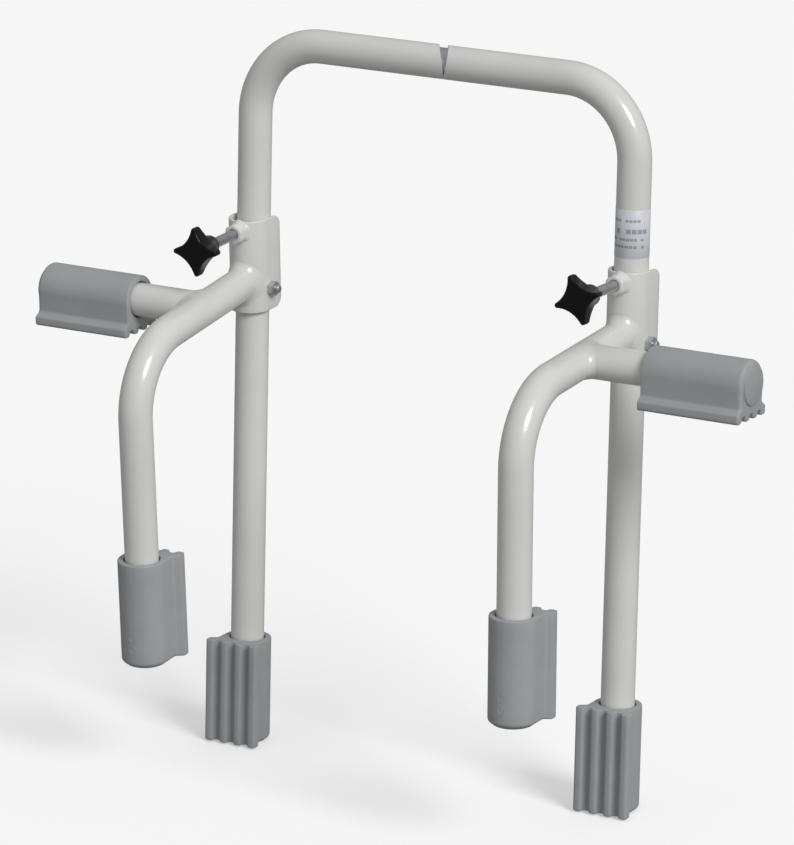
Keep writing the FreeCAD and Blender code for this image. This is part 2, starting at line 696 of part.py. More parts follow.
def star_knob(name, side):
    """The four-lobed knob with its hub, moulded on the screw's head end."""
    body = new_body(name)
    star = sketch_on(body, "XY_Plane")
    circle(star, S.knob_radius)
    pad(body, star, S.knob_height)

    hollow = sketch_on(body, "XY_Plane")
    halfway = S.knob_hollow_reach / math.sqrt(2)
    circle(hollow, S.knob_hollow, halfway, halfway)
    first = pocket(body, hollow)
    pattern = body.newObject("PartDesign::PolarPattern", "Hollows")
    pattern.Originals = [first]
    pattern.Axis = (star, ["N_Axis"])
    pattern.Angle = 360
    pattern.Occurrences = 4
    finish(body, pattern)

    def lobe_corner(edge):
        reach = math.hypot(edge.CenterOfMass.x, edge.CenterOfMass.y)
        runs_through = edge.BoundBox.ZLength > S.knob_height.value / 2
        return runs_through and reach > S.knob_radius.value - CLOSE

    round_edges(body, S.knob_tip_round, lobe_corner)
    round_edges(body, S.knob_edge, lambda edge: lies_at(edge, "Z", S.knob_height.value))

    slope = sketch_on(body, "XZ_Plane")
    outer = S.knob_radius + OVERSHOOT
    rise = S.knob_back_rise / (S.knob_radius - S.hub_radius) * (outer - S.hub_radius)
    polygon(slope, [(S.hub_radius, 0), (outer, rise), (outer, -OVERSHOOT), (S.hub_radius, -OVERSHOOT)])
    turn_off(body, slope, "V_Axis")

    hub = sketch_on(body, "XY_Plane", shift=(0, 0, -S.hub_length))
    circle(hub, S.hub_radius)
    pad(body, hub, S.hub_length + S.knob_edge)
    round_edges(body, S.hub_round, lambda edge: lies_at(edge, "Z", -S.hub_length.value))

    bore = sketch_on(body, "XY_Plane", shift=(0, 0, -S.hub_length))
    circle(bore, S.screw_diameter / 2)
    pocket(body, bore, S.hub_length + S.stud_depth, backward=True)
    turn = S.knob_turn_left if side < 0 else S.knob_turn_right
    body.Placement = screw_place(side, S.knob_back, turn.value)
    return body


def clamp_screw(name, side):
    """The M8 stud, with a turned-down point that carries the thrust cap."""
    body = new_body(name)
    shoulder = S.knob_back - TUBE_RADIUS - S.tip_gap - S.cap_length - S.shoulder_gap
    stud = sketch_on(body, "XY_Plane", shift=(0, 0, -shoulder))
    circle(stud, S.screw_diameter / 2)
    pad(body, stud, shoulder + S.stud_depth)
    point = sketch_on(body, "XY_Plane", shift=(0, 0, -shoulder))
    circle(point, S.dog_diameter / 2)
    pad(body, point, S.dog_length, backward=True)

    def shoulder_rim(edge):
        wider_than_point = edge.BoundBox.XLength > S.dog_diameter.value + CLOSE
        return wider_than_point and lies_at(edge, "Z", -shoulder.value)

    round_edges(body, S.shoulder_round, shoulder_rim)
    body.Placement = screw_place(side, S.knob_back)
    return body


def thrust_cap(name, side):
    """The small round-nosed cap that bears on the leg and doesn't turn with the screw."""
    body = new_body(name)
    nose = sketch_on(body, "XY_Plane")
    circle(nose, S.cap_diameter / 2)
    pad(body, nose, S.cap_length)
    round_edges(body, S.cap_round, lambda edge: lies_at(edge, "Z", 0))
    bore = sketch_on(body, "XY_Plane", shift=(0, 0, S.cap_length))
    circle(bore, S.cap_bore / 2)
    pocket(body, bore, S.cap_bore_depth)
    body.Placement = screw_place(side, TUBE_RADIUS + S.tip_gap)
    return body


# ---------------------------------------------------------------- the whole rail


CLAMP_PARTS = {
    "bracket": bracket,
    "clamp_arm": clamp_arm,
    "rest_stub": rest_stub,
    "arm_pad": arm_pad,
    "rest_pad": rest_pad,
    "weld_nut": weld_nut,
    "pivot_bolt": pivot_bolt,
    "pivot_nut": pivot_nut,
    "star_knob": star_knob,
    "clamp_screw": clamp_screw,
    "thrust_cap": thrust_cap,
}


def build_all():
    parts = [handle_spigot(), rating_label()]
    for side_name, side in SIDES.items():
        parts.append(handle_half(f"handle_tube_{side_name}", side))
        parts.append(leg_pad(side_name, side))
        parts += [make(f"{name}_{side_name}", side) for name, make in CLAMP_PARTS.items()]
    DOC.recompute()
    return parts


def check(parts):
    for each in DOC.Objects:
        if {"Invalid", "Error"} & set(each.State):
            raise RuntimeError(f"{each.Label} ({each.Name}) failed: {each.State}")
    for each in parts:
        shape = each.Shape
        if shape.isNull() or not shape.isValid() or len(shape.Solids) != 1:
            raise RuntimeError(f"{each.Label} isn't one valid solid")


def export(parts):
    os.makedirs("parts", exist_ok=True)
    for each in parts:
        each.Shape.exportStep(f"parts/{each.Label}.step")
        print(f"{each.Label}: {each.Shape.Volume / 1000:.2f} cm3")


PARTS = build_all()
check(PARTS)
export(PARTS)
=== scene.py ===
"""Looks of a clamp-on bath grab rail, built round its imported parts.

Each sub-assembly is modelled in millimetres in its own frame, taken from the packed
joints, mounts and boxes, and then rides on the body that carries it.
"""

import json
import logging
import math
from dataclasses import dataclass, field
from enum import Enum
from typing import Callable, Iterable, Iterator, Optional, Sequence, Union

import bmesh
import bpy
from mathutils import Matrix, Vector, noise

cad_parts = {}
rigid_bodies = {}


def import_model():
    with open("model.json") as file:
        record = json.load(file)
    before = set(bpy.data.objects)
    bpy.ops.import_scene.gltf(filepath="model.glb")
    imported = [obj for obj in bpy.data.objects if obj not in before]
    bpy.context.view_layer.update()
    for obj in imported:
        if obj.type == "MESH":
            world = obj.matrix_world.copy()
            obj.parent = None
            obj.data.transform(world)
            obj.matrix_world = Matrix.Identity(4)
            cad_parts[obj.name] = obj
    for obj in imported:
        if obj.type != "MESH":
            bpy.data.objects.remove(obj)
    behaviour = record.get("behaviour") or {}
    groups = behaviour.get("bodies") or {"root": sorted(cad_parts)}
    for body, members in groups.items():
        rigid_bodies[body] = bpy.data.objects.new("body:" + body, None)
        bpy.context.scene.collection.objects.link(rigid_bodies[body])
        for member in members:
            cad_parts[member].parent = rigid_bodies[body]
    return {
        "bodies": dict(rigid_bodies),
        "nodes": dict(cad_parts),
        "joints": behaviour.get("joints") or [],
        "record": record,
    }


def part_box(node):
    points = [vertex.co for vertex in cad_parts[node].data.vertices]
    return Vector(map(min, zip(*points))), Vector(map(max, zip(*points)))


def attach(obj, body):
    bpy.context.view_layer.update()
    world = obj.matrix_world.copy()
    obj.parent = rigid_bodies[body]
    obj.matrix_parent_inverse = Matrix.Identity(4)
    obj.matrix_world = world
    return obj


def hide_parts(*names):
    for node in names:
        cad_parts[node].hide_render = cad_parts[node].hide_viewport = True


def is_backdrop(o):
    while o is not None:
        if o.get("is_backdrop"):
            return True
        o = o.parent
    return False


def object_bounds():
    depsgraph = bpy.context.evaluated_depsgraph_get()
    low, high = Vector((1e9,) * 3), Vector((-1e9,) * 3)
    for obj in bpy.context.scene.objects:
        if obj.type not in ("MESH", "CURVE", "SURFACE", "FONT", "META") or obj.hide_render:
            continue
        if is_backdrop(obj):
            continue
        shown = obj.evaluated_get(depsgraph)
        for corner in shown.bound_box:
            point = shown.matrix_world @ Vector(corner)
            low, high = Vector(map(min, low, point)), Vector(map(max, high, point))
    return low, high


MM = 0.001
AROUND = 72  # points around a round tube
SEAM = 120  # points along a weld's seam
TUBE_LIP = 0.25  # chamfer of a cut tube's edges
LOG = logging.getLogger("grab_rail")

Colour = tuple[float, float, float]
Number = Union["Wire", float]
Shift = Callable[[Vector], float]


class Side(Enum):
    """The two sides of the rail, as seen from the bather's side."""

    LEFT = -1
    RIGHT = 1

    @property
    def word(self) -> str:
        """The side's name inside part, body and joint names."""
        return self.name.lower()


class Foot(Enum):
    """The three places that a rubber pad sits."""

    REST = "rest"
    LEG = "leg"
    ARM = "arm"


class Slot(Enum):
    """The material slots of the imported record."""

    PAINT = "powder_coat"
    RUBBER = "rubber"
    ZINC = "zinc"
    KNOB = "knob"
    NYLON = "nylon"
    LABEL = "label"


# ---------------------------------------------------------------- shader wiring


class Wire:
    """A value socket that shader sums are written with."""

    def __init__(self, bench: "Bench", socket: bpy.types.NodeSocket) -> None:
        """Keeps the socket and the bench that its sums go on.

        Args:
            bench: the finish being wired.
            socket: the output that gives the value.
        """
        self.bench = bench
        self.socket = socket

    def __add__(self, other: Number) -> "Wire":
        """This value plus another."""
        return self.bench.math("ADD", self, other)

    __radd__ = __add__

    def __sub__(self, other: Number) -> "Wire":
        """This value less another."""
        return self.bench.math("SUBTRACT", self, other)

    def __mul__(self, other: Number) -> "Wire":
        """This value times another."""
        return self.bench.math("MULTIPLY", self, other)

    __rmul__ = __mul__

    def __truediv__(self, other: Number) -> "Wire":
        """This value over another."""
        return self.bench.math("DIVIDE", self, other)

    def __gt__(self, other: Number) -> "Wire":
        """1 where this value is the larger, else 0."""
        return self.bench.math("GREATER_THAN", self, other)

    def __lt__(self, other: Number) -> "Wire":
        """1 where this value is the smaller, else 0."""
        return self.bench.math("LESS_THAN", self, other)


class Bench:
    """The node tree of one finish, round a Principled shader."""

    def __init__(self, name: str) -> None:
        """Starts an empty material with its shader and output.

        Args:
            name: the material's name.
        """
        self.material = bpy.data.materials.new(name)
        self.material.use_nodes = True
        self.tree = self.material.node_tree
        self.tree.nodes.clear()
        self.shader = self.node("ShaderNodeBsdfPrincipled")
        self.node("ShaderNodeOutputMaterial", inputs={"Surface": self.shader.outputs[0]})
        self.place = self.node("ShaderNodeTexCoord").outputs["Object"]

    def node(self, kind: str, settings: Optional[dict] = None,
             inputs: Optional[dict] = None) -> bpy.types.Node:
        """Adds one node.

        Args:
            kind: the node's type.
            settings: its properties, set first; "stops" holds a ramp's (position, colour) pairs.
            inputs: values or links of its sockets, by name or number.

        Returns:
            The new node.
        """
        made = self.tree.nodes.new(kind)
        for name, value in (settings or {}).items():
            if name == "stops":
                self._set_stops(made.color_ramp, value)
            else:
                setattr(made, name, value)
        for name, value in (inputs or {}).items():
            self.plug(made.inputs[name], value)
        return made

    @staticmethod
    def _set_stops(ramp: bpy.types.ColorRamp, stops: Sequence[tuple[float, Colour]]) -> None:
        """Gives a ramp its stops.

        Args:
            ramp: the ramp of a Color Ramp node, with its two first stops.
            stops: position and colour of each stop, in order.
        """
        while len(ramp.elements) < len(stops):
            ramp.elements.new(1.0)
        for element, (position, colour) in zip(ramp.elements, stops):
            element.position = position
            element.color = (*colour, 1.0)

    def plug(self, socket: bpy.types.NodeSocket, value: object) -> None:
        """Links or sets one input.

        Args:
            socket: the input.
            value: a Wire, an output socket, a colour, a vector or a number.
        """
        if isinstance(value, Wire):
            value = value.socket
        if isinstance(value, bpy.types.NodeSocket):
            self.tree.links.new(value, socket)
        elif socket.type == "RGBA" and len(value) == 3:
            socket.default_value = (*value, 1.0)
        else:
            socket.default_value = value

    def math(self, operation: str, first: Number, second: Number = 0.0) -> Wire:
        """One Math node.

        Args:
            operation: the node's operation.
            first: its first value.
            second: its second value.

        Returns:
            The result.
        """
        made = self.node("ShaderNodeMath", {"operation": operation}, {0: first, 1: second})
        return Wire(self, made.outputs[0])

    def ramp(self, value: Wire, low: float, high: float) -> Wire:
        """A smooth step of a value.

        Args:
            value: what is stepped.
            low: where the step starts.
            high: where it ends.

        Returns:
            0 up to low, 1 from high, smooth between.
        """
        made = self.node(
            "ShaderNodeMapRange",
            {"interpolation_type": "SMOOTHSTEP"},
            {"Value": value, "From Min": low, "From Max": high},
        )
        return Wire(self, made.outputs["Result"])

    def stretched(self, scale: Sequence[float]) -> bpy.types.NodeSocket:
        """The piece's own coordinates, scaled.

        Args:
            scale: factor along each axis.

        Returns:
            The vector output.
        """
        made = self.node("ShaderNodeMapping", inputs={"Vector": self.place, "Scale": scale})
        return made.outputs[0]

    def grain(self, per_metre: float, detail: float = 2.0, rough: float = 0.5,
              at: Optional[bpy.types.NodeSocket] = None) -> Wire:
        """Cloudy noise over the piece.

        Args:
            per_metre: features in a metre.
            detail: octaves.
            rough: weight of the finer octaves.
            at: the coordinates, or the piece's own.

        Returns:
            A value around one half.
        """
        made = self.node(
            "ShaderNodeTexNoise",
            None,
            {"Vector": at or self.place, "Scale": per_metre, "Detail": detail, "Roughness": rough},
        )
        return Wire(self, made.outputs[0])

    def mix(self, factor: Number, first: object, second: object) -> bpy.types.NodeSocket:
        """Mixes two colours.

        Args:
            factor: share of the second.
            first: colour or socket.
            second: colour or socket.

        Returns:
            The mixed colour.
        """
        made = self.node("ShaderNodeMix", {"data_type": "RGBA"})
        self.plug(made.inputs[0], factor)
        self.plug(made.inputs[6], first)
        self.plug(made.inputs[7], second)
        return made.outputs[2]

    def bump(self, height: Wire, depth: float, strength: float) -> bpy.types.NodeSocket:
        """Raises a height over the surface.

        Args:
            height: the height, 0 to 1.
            depth: its full depth in metres.
            strength: how much of it shows.

        Returns:
            The normal output.
        """
        inputs = {"Height": height, "Distance": depth, "Strength": strength}
        return self.node("ShaderNodeBump", inputs=inputs).outputs[0]

    def paint(self, **sockets: object) -> bpy.types.Material:
        """Feeds the shader.

        Args:
            sockets: values or links by socket name, with _ for a space.

        Returns:
            The finished material.
        """
        for name, value in sockets.items():
            self.plug(self.shader.inputs[name.replace("_", " ")], value)
        return self.material


# ---------------------------------------------------------------- finishes


@dataclass(frozen=True)
class PowderCoat:
    """Baked off-white powder coat with a faint orange peel."""

    colour: Colour = (0.86, 0.86, 0.835)
    shade: Colour = (0.80, 0.797, 0.765)
    gloss: float = 0.26
    peel: float = 0.00004
    slot: Slot = Slot.PAINT

    def make(self) -> bpy.types.Material:
        """The wired material."""
        bench = Bench("powder_coat")
        cloud = bench.grain(22.0, 3.0)
        peel = bench.grain(620.0, 2.0)
        fleck = bench.ramp(bench.grain(1900.0, 1.0), 0.69, 0.76)
        colour = bench.mix(bench.ramp(cloud, 0.35, 0.75) * 0.55, self.colour, self.shade)
        colour = bench.mix(fleck * 0.10, colour, (0.52, 0.50, 0.46))
        rough = self.gloss + cloud * 0.08 + fleck * 0.10
        return bench.paint(
            Base_Color=colour,
            Roughness=rough,
            Coat_Weight=0.5,
            Coat_Roughness=0.06,
            Specular_IOR_Level=0.5,
            Normal=bench.bump(peel, self.peel, 0.6),
        )


@dataclass(frozen=True)
class Rubber:
    """Moulded grey rubber, matt with a fine grain and faint scuffs."""

    colour: Colour = (0.415, 0.43, 0.44)
    dust: Colour = (0.52, 0.54, 0.56)
    dull: float = 0.56
    slot: Slot = Slot.RUBBER

    def make(self) -> bpy.types.Material:
        """The wired material."""
        bench = Bench("rubber")
        cloud = bench.grain(34.0, 4.0, 0.6)
        grain = bench.grain(1500.0, 3.0, 0.65)
        scuff = bench.ramp(bench.grain(55.0, 5.0, 0.7, bench.stretched((1.0, 1.0, 0.25))), 0.56, 0.74)
        colour = bench.mix(bench.ramp(cloud, 0.3, 0.8) * 0.35, self.colour, self.dust)
        colour = bench.mix(scuff * 0.16, colour, (0.60, 0.61, 0.62))
        colour = bench.mix(bench.ramp(grain, 0.45, 0.75) * 0.16, colour, (0.30, 0.32, 0.34))
        rough = self.dull + scuff * 0.12 - bench.ramp(grain, 0.4, 0.7) * 0.05
        return bench.paint(
            Base_Color=colour,
            Roughness=rough,
            Specular_IOR_Level=0.42,
            Normal=bench.bump(grain, 0.00006, 0.7),
        )


@dataclass(frozen=True)
class Zinc:
    """Bright zinc plate, finely drawn along the given axis."""

    name: str = "zinc"
    colour: Colour = (0.66, 0.67, 0.69)
    along: tuple[float, float, float] = (1.0, 1.0, 0.05)
    slot: Slot = Slot.ZINC

    def make(self) -> bpy.types.Material:
        """The wired material."""
        bench = Bench(self.name)
        cloud = bench.grain(240.0, 3.0)
        drawn = bench.grain(5200.0, 2.0, 0.5, bench.stretched(self.along))
        colour = bench.mix(bench.ramp(cloud, 0.4, 0.7) * 0.5, self.colour, (0.45, 0.45, 0.46))
        return bench.paint(
            Base_Color=colour,
            Metallic=1.0,
            Roughness=0.24 + drawn * 0.14 + cloud * 0.08,
            Normal=bench.bump(drawn, 0.00002, 0.5),
        )


@dataclass(frozen=True)
class KnobPlastic:
    """Glossy black moulded plastic."""

    colour: Colour = (0.004, 0.004, 0.004)
    slot: Slot = Slot.KNOB

    def make(self) -> bpy.types.Material:
        """The wired material."""
        bench = Bench("knob_plastic")
        cloud = bench.grain(160.0, 3.0)
        flow = bench.grain(900.0, 2.0)
        colour = bench.mix(bench.ramp(cloud, 0.4, 0.8) * 0.4, self.colour, (0.008, 0.008, 0.009))
        return bench.paint(
            Base_Color=colour,
            Roughness=0.16 + bench.ramp(cloud, 0.35, 0.8) * 0.14,
            Specular_IOR_Level=0.25,
            Normal=bench.bump(flow, 0.00005, 0.5),
        )


@dataclass(frozen=True)
class Nylon:
    """Natural nylon, faintly translucent and waxy."""

    colour: Colour = (0.72, 0.70, 0.64)
    slot: Slot = Slot.NYLON

    def make(self) -> bpy.types.Material:
        """The wired material."""
        bench = Bench("nylon")
        cloud = bench.grain(300.0, 3.0)
        colour = bench.mix(cloud * 0.5, self.colour, (0.62, 0.60, 0.54))
        return bench.paint(
            Base_Color=colour,
            Roughness=0.38 + cloud * 0.15,
            Normal=bench.bump(bench.grain(1400.0, 2.0), 0.00003, 0.6),
        )


@dataclass(frozen=True)
class LabelFilm:
    """Bluish white film printed with plain grey bars and no words."""

    radius: float
    low: float
    high: float
    slot: Slot = Slot.LABEL

    def make(self) -> bpy.types.Material:
        """The wired material."""
        bench = Bench("label_film")
        axes = bench.node("ShaderNodeSeparateXYZ", None, {0: bench.place})
        x, y, z = (Wire(bench, axes.outputs[i]) for i in range(3))
        arc = bench.math("ARCTAN2", x, y * -1.0) * (self.radius / MM)
        rise = (z - self.low) / MM
        ink = self._bars(bench, arc, rise)
        paper = bench.mix(bench.grain(90.0, 3.0) * 0.4, (0.80, 0.83, 0.87), (0.74, 0.77, 0.82))
        colour = bench.mix(ink * 0.62, paper, (0.16, 0.18, 0.22))
        return bench.paint(
            Base_Color=colour,
            Roughness=0.34 + bench.grain(400.0, 2.0) * 0.14 + ink * 0.08,
            Normal=bench.bump(bench.grain(700.0, 2.0), 0.00002, 0.4),
        )

    def _bars(self, bench: Bench, arc: Wire, rise: Wire) -> Wire:
        """Where the print lies.

        Args:
            bench: the finish being wired.
            arc: millimetres round the leg from its front.
            rise: millimetres above the label's lower edge.

        Returns:
            1 in the ink, else 0.
        """
        tall = (self.high - self.low) / MM
        ink: Number = 0.0
        for share, height, reach, pitch in ((0.24, 1.9, 15.0, 3.1), (0.39, 1.9, 17.0, 2.7),
                                            (0.56, 3.4, 18.0, 4.2), (0.78, 2.0, 14.0, 2.9)):
            line = bench.math("COMPARE", rise, share * tall)
            line.socket.node.inputs[2].default_value = height / 2
            within = bench.math("LESS_THAN", bench.math("ABSOLUTE", arc), reach)
            cell = bench.math("FLOOR", arc / pitch + share * 37.0)
            pick = bench.node("ShaderNodeTexWhiteNoise", {"noise_dimensions": "1D"}, {"W": cell})
            shown = Wire(bench, pick.outputs["Value"]) > 0.22
            inside = bench.math("FRACT", arc / pitch + share * 37.0) < 0.82
            ink = bench.math("MAXIMUM", ink, line * within * shown * inside)
        return ink


@dataclass(frozen=True)
class StudioWhite:
    """Seamless pale floor, lit a little from within."""

    colour: Colour = (0.93, 0.93, 0.93)
    glow: float = 0.33

    def make(self) -> bpy.types.Material:
        """The wired material."""
        bench = Bench("studio_floor")
        colour = bench.mix(bench.grain(3.0, 2.0) * 0.1, self.colour, (0.90, 0.90, 0.90))
        return bench.paint(
            Base_Color=colour,
            Roughness=0.9 + bench.grain(8.0, 2.0) * 0.05,
            Emission_Color=(1.0, 1.0, 1.0),
            Emission_Strength=self.glow,
        )


# ---------------------------------------------------------------- mesh building


@dataclass(frozen=True)
class Station:
    """One cross-section of a swept tube, in millimetres."""

    centre: Vector
    along: Vector
    side: Vector

    def ring(self, radius: float, push: float = 0.0, shift: Optional[Shift] = None,
             count: int = AROUND) -> list[Vector]:
        """Points round the section.

        Args:
            radius: the ring's radius.
            push: how far the whole ring moves along.
            shift: how far each of its points moves along as well.
            count: points in the ring.

        Returns:
            The points, starting at the side direction.
        """
        over = self.along.cross(self.side)
        made = []
        for k in range(count):
            turn = math.tau * k / count
            point = self.centre + (self.side * math.cos(turn) + over * math.sin(turn)) * radius
            if shift is not None:
                point = point + self.along * shift(point)
            made.append(point + self.along * push)
        return made


@dataclass
class Route:
    """A flat centreline of straight runs and arcs, drawn as it goes."""

    at: Vector
    along: Vector
    side: Vector
    stations: list[Station] = field(default_factory=list)

    def stop(self) -> "Route":
        """Puts a section where the route has come to."""
        self.stations.append(Station(self.at.copy(), self.along.copy(), self.side.copy()))
        return self

    def run(self, length: float, parts: int = 4) -> "Route":
        """Goes straight on.

        Args:
            length: how far.
            parts: sections put on the way.

        Returns:
            The route itself.
        """
        for _ in range(parts):
            self.at = self.at + self.along * (length / parts)
            self.stop()
        return self

    def bend(self, radius: float, angle: float, step: float = math.radians(3.0)) -> "Route":
        """Turns about the side direction.

        Args:
            radius: the centreline's radius.
            angle: how far it turns; negative turns the other way.
            step: most that one section turns.

        Returns:
            The route itself.
        """
        toward = self.side.cross(self.along) * math.copysign(1.0, angle)
        hub = self.at + toward * radius
        parts = max(2, math.ceil(abs(angle) / step))
        turn = Matrix.Rotation(angle / parts, 3, self.side)
        for _ in range(parts):
            self.at = hub + turn @ (self.at - hub)
            self.along = (turn @ self.along).normalized()
            self.stop()
        return self


class Skin:
    """Points and faces of one piece, in millimetres in the piece's own frame."""

    def __init__(self) -> None:
        """Starts empty."""
        self.points: list[Vector] = []
        self.faces: list[tuple[int, ...]] = []
        self.webs: list[tuple[list[int], list[int]]] = []

    def ring(self, points: Iterable[Vector]) -> list[int]:
        """Adds points and gives their numbers."""
        first = len(self.points)
        self.points.extend(points)
        return list(range(first, len(self.points)))

    def bridge(self, lower: Sequence[int], upper: Sequence[int], closed: bool = True) -> None:
        """Faces between two equal rows.

        Args:
            lower: one row's numbers.
            upper: the other's.
            closed: whether the rows close on themselves.
        """
        count = len(lower)
        for k in range(count if closed else count - 1):
            after = (k + 1) % count
            self.faces.append((lower[k], lower[after], upper[after], upper[k]))

    def loft(self, rings: Iterable[Sequence[Vector]], closed: bool = False) -> list[list[int]]:
        """Faces through a row of equal rings.

        Args:
            rings: the rings, in order.
            closed: whether the last joins the first.

        Returns:
            The rings' numbers.
        """
        made = [self.ring(points) for points in rings]
        for lower, upper in zip(made, made[1:]):
            self.bridge(lower, upper)
        if closed:
            self.bridge(made[-1], made[0])
        return made

    def cap(self, ring: Sequence[int]) -> None:
        """One flat face over a ring."""
        self.faces.append(tuple(ring))

    def web(self, outer: list[int], inner: list[int]) -> None:
        """Flat faces between a ring and another inside it."""
        self.webs.append((outer, inner))

    def solid(self, rings: Iterable[Sequence[Vector]]) -> None:
        """A lofted solid with both ends capped."""
        made = self.loft(rings)
        self.cap(made[0])
        self.cap(made[-1])

    def turned(self, profile: Sequence[tuple[float, float]], count: int) -> None:
        """A solid turned about the local Z.

        Args:
            profile: (radius, height) from one end to the other.
            count: points around.
        """
        self.solid([circle(r, z, count) for r, z in profile])

    def pipe(self, stations: Sequence[Station], outer: float, inner: float, lip: float = TUBE_LIP,
             start: Optional[Shift] = None, end: Optional[Shift] = None) -> None:
        """A hollow tube swept through sections, with softened ends.

        Args:
            stations: the sections, in order.
            outer: outside radius.
            inner: inside radius.
            lip: chamfer of its end edges.
            start: how its first end is cut.
            end: how its last end is cut.
        """
        first, last, middle = stations[0], stations[-1], list(stations[1:-1])
        rings = [first.ring(outer - lip, 0.0, start), first.ring(outer, lip, start)]
        rings += [s.ring(outer) for s in middle]
        rings += [last.ring(outer, -lip, end), last.ring(outer - lip, 0.0, end),
                  last.ring(inner + lip, 0.0, end), last.ring(inner, -lip, end)]
        rings += [s.ring(inner) for s in reversed(middle)]
        rings += [first.ring(inner, lip, start), first.ring(inner + lip, 0.0, start)]
        self.loft(rings, closed=True)

    def mesh(self, name: str, crease: float = 32.0, weld: float = 0.0) -> bpy.types.Mesh:
        """The finished mesh, in metres.

        Args:
            name: the mesh's name.
            crease: angle in degrees above which an edge is sharp.
            weld: points this near in millimetres become one, and holes are closed.

        Returns:
            The mesh, shaded smooth between sharp edges.
        """
        work = bmesh.new()
        verts = [work.verts.new(point * MM) for point in self.points]
        for face in self.faces:
            work.faces.new([verts[i] for i in face])
        for outer, inner in self.webs:
            rim = [work.edges.get((verts[loop[k - 1]], verts[loop[k]])) for loop in (outer, inner)
                   for k in range(len(loop))]
            bmesh.ops.triangle_fill(work, use_beauty=True, use_dissolve=False, edges=rim)
        if weld:
            bmesh.ops.remove_doubles(work, verts=work.verts, dist=weld * MM)
            bmesh.ops.dissolve_degenerate(work, edges=work.edges, dist=weld * MM)
            bmesh.ops.holes_fill(work, edges=[e for e in work.edges if e.is_boundary])
        bmesh.ops.recalc_face_normals(work, faces=work.faces)
        mesh = bpy.data.meshes.new(name)
        work.to_mesh(mesh)
        work.free()
        mesh.shade_smooth()
        mesh.set_sharp_from_angle(angle=math.radians(crease))
        return mesh


class Workshop:
    """Finishes pieces and puts them on their bodies."""

    def __init__(self, frame: dict) -> None:
        """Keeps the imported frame.
        """
        self.frame = frame
        self.made: dict[object, bpy.types.Material] = {}
        behaviour = frame["record"]["behaviour"]
        self.joints = {joint["name"]: joint for joint in behaviour["joints"]}
        self.mounts = {mount["name"]: mount for mount in frame["record"]["mounts"]}

    def coat(self, finish: object) -> bpy.types.Material:
        """The material of a finish, made once."""
        if finish not in self.made:
            self.made[finish] = finish.make()
        return self.made[finish]

    def fit(self, name: str, mesh: bpy.types.Mesh, place: Matrix, body: str, finish: object,
            stands_for: Sequence[str] = ()) -> bpy.types.Object:
        """Turns a mesh into a piece of the model.

        Args:
            name: the piece's name.
            mesh: its mesh, in metres in its own frame.
            place: that frame in the row frame.
            body: the body it rides on.
            finish: its finish.
            stands_for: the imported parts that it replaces.

        Returns:
            The piece.
        """
        piece = bpy.data.objects.new(name, mesh)
        bpy.context.scene.collection.objects.link(piece)
        piece.matrix_world = place
        mesh.materials.append(self.coat(finish))
        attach(piece, body)
        if stands_for:
            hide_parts(*stands_for)
        LOG.info("%s: %d faces on %s", name, len(mesh.polygons), body)
        return piece

    def dress(self, node: str, finish: object) -> None:
        """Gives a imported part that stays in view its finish.

        Args:
            node: the part's name.
            finish: its finish.
        """
        piece = self.frame["nodes"][node]
        piece.data.materials.clear()
        piece.data.materials.append(self.coat(finish))
        LOG.info("%s: packed part kept, %s", node, finish.slot.value)

    def pivot(self, side: Side) -> Vector:
        """A clamp's pivot point in metres."""
        return Vector(self.joints[f"{side.word}_clamp_pivot"]["pos_m"])

    def clamp_place(self, side: Side) -> Matrix:
        """A clamp's frame: origin at its pivot, Y along its screw, X to the right."""
        axis = Vector(self.joints[f"{side.word}_screw_travel"]["axis"])
        tilt = math.atan2(axis.z, axis.y)
        return Matrix.Translation(self.pivot(side)) @ Matrix.Rotation(tilt, 4, "X")

    def knob_place(self, side: Side) -> Matrix:
        """A knob's frame: origin at the back of its star, Z out of its front, X to the right."""
        joint = self.joints[f"{side.word}_knob_turn"]
        front = -Vector(joint["axis"]).normalized()
        right = Vector((1, 0, 0))
        return frame_of(right, front.cross(right), front, Vector(joint["pos_m"]))

    def pad_place(self, side: Side, foot: Foot, mouth_to_face: Vector) -> Matrix:
        """A pad's frame: origin at its mouth, closed end at -Z, ribs facing -Y.

        Args:
            side: which side.
            foot: which pad.
            mouth_to_face: from the mouth to the mount's point, in millimetres in the pad's frame.

        Returns:
            The frame.
        """
        mount = self.mounts[f"{foot.value}_face_{side.word}"]
        y = -Vector(mount["axis"]).normalized()
        if foot is Foot.REST:
            z = Vector((-side.value, 0, 0))
            x = y.cross(z)
        else:
            x = Vector((1 if foot is Foot.LEG else -1, 0, 0))
            z = x.cross(y)
        turn = frame_of(x, y, z, Vector((0, 0, 0)))
        return Matrix.Translation(Vector(mount["pos_m"]) - turn.to_3x3() @ (mouth_to_face * MM)) @ turn


def frame_of(x: Vector, y: Vector, z: Vector, origin: Vector) -> Matrix:
    """A frame from its three directions.

    Args:
        x: its X direction.
        y: its Y direction.
        z: its Z direction.
        origin: where it stands.

    Returns:
        The 4x4 matrix.
    """
    return Matrix.Translation(origin) @ Matrix((x, y, z)).transposed().to_4x4()


def arc_points(centre: Vector, radius: float, start: float, end: float, parts: int) -> list[Vector]:
    """Points on an arc in the XY plane, both ends included.

    Args:
        centre: the arc's centre.
        radius: its radius.
        start: first angle in radians.
        end: last angle in radians.
        parts: steps between them.

    Returns:
        The points.
    """
    return [centre + Vector((math.cos(a), math.sin(a), 0.0)) * radius
            for a in (start + (end - start) * k / parts for k in range(parts + 1))]


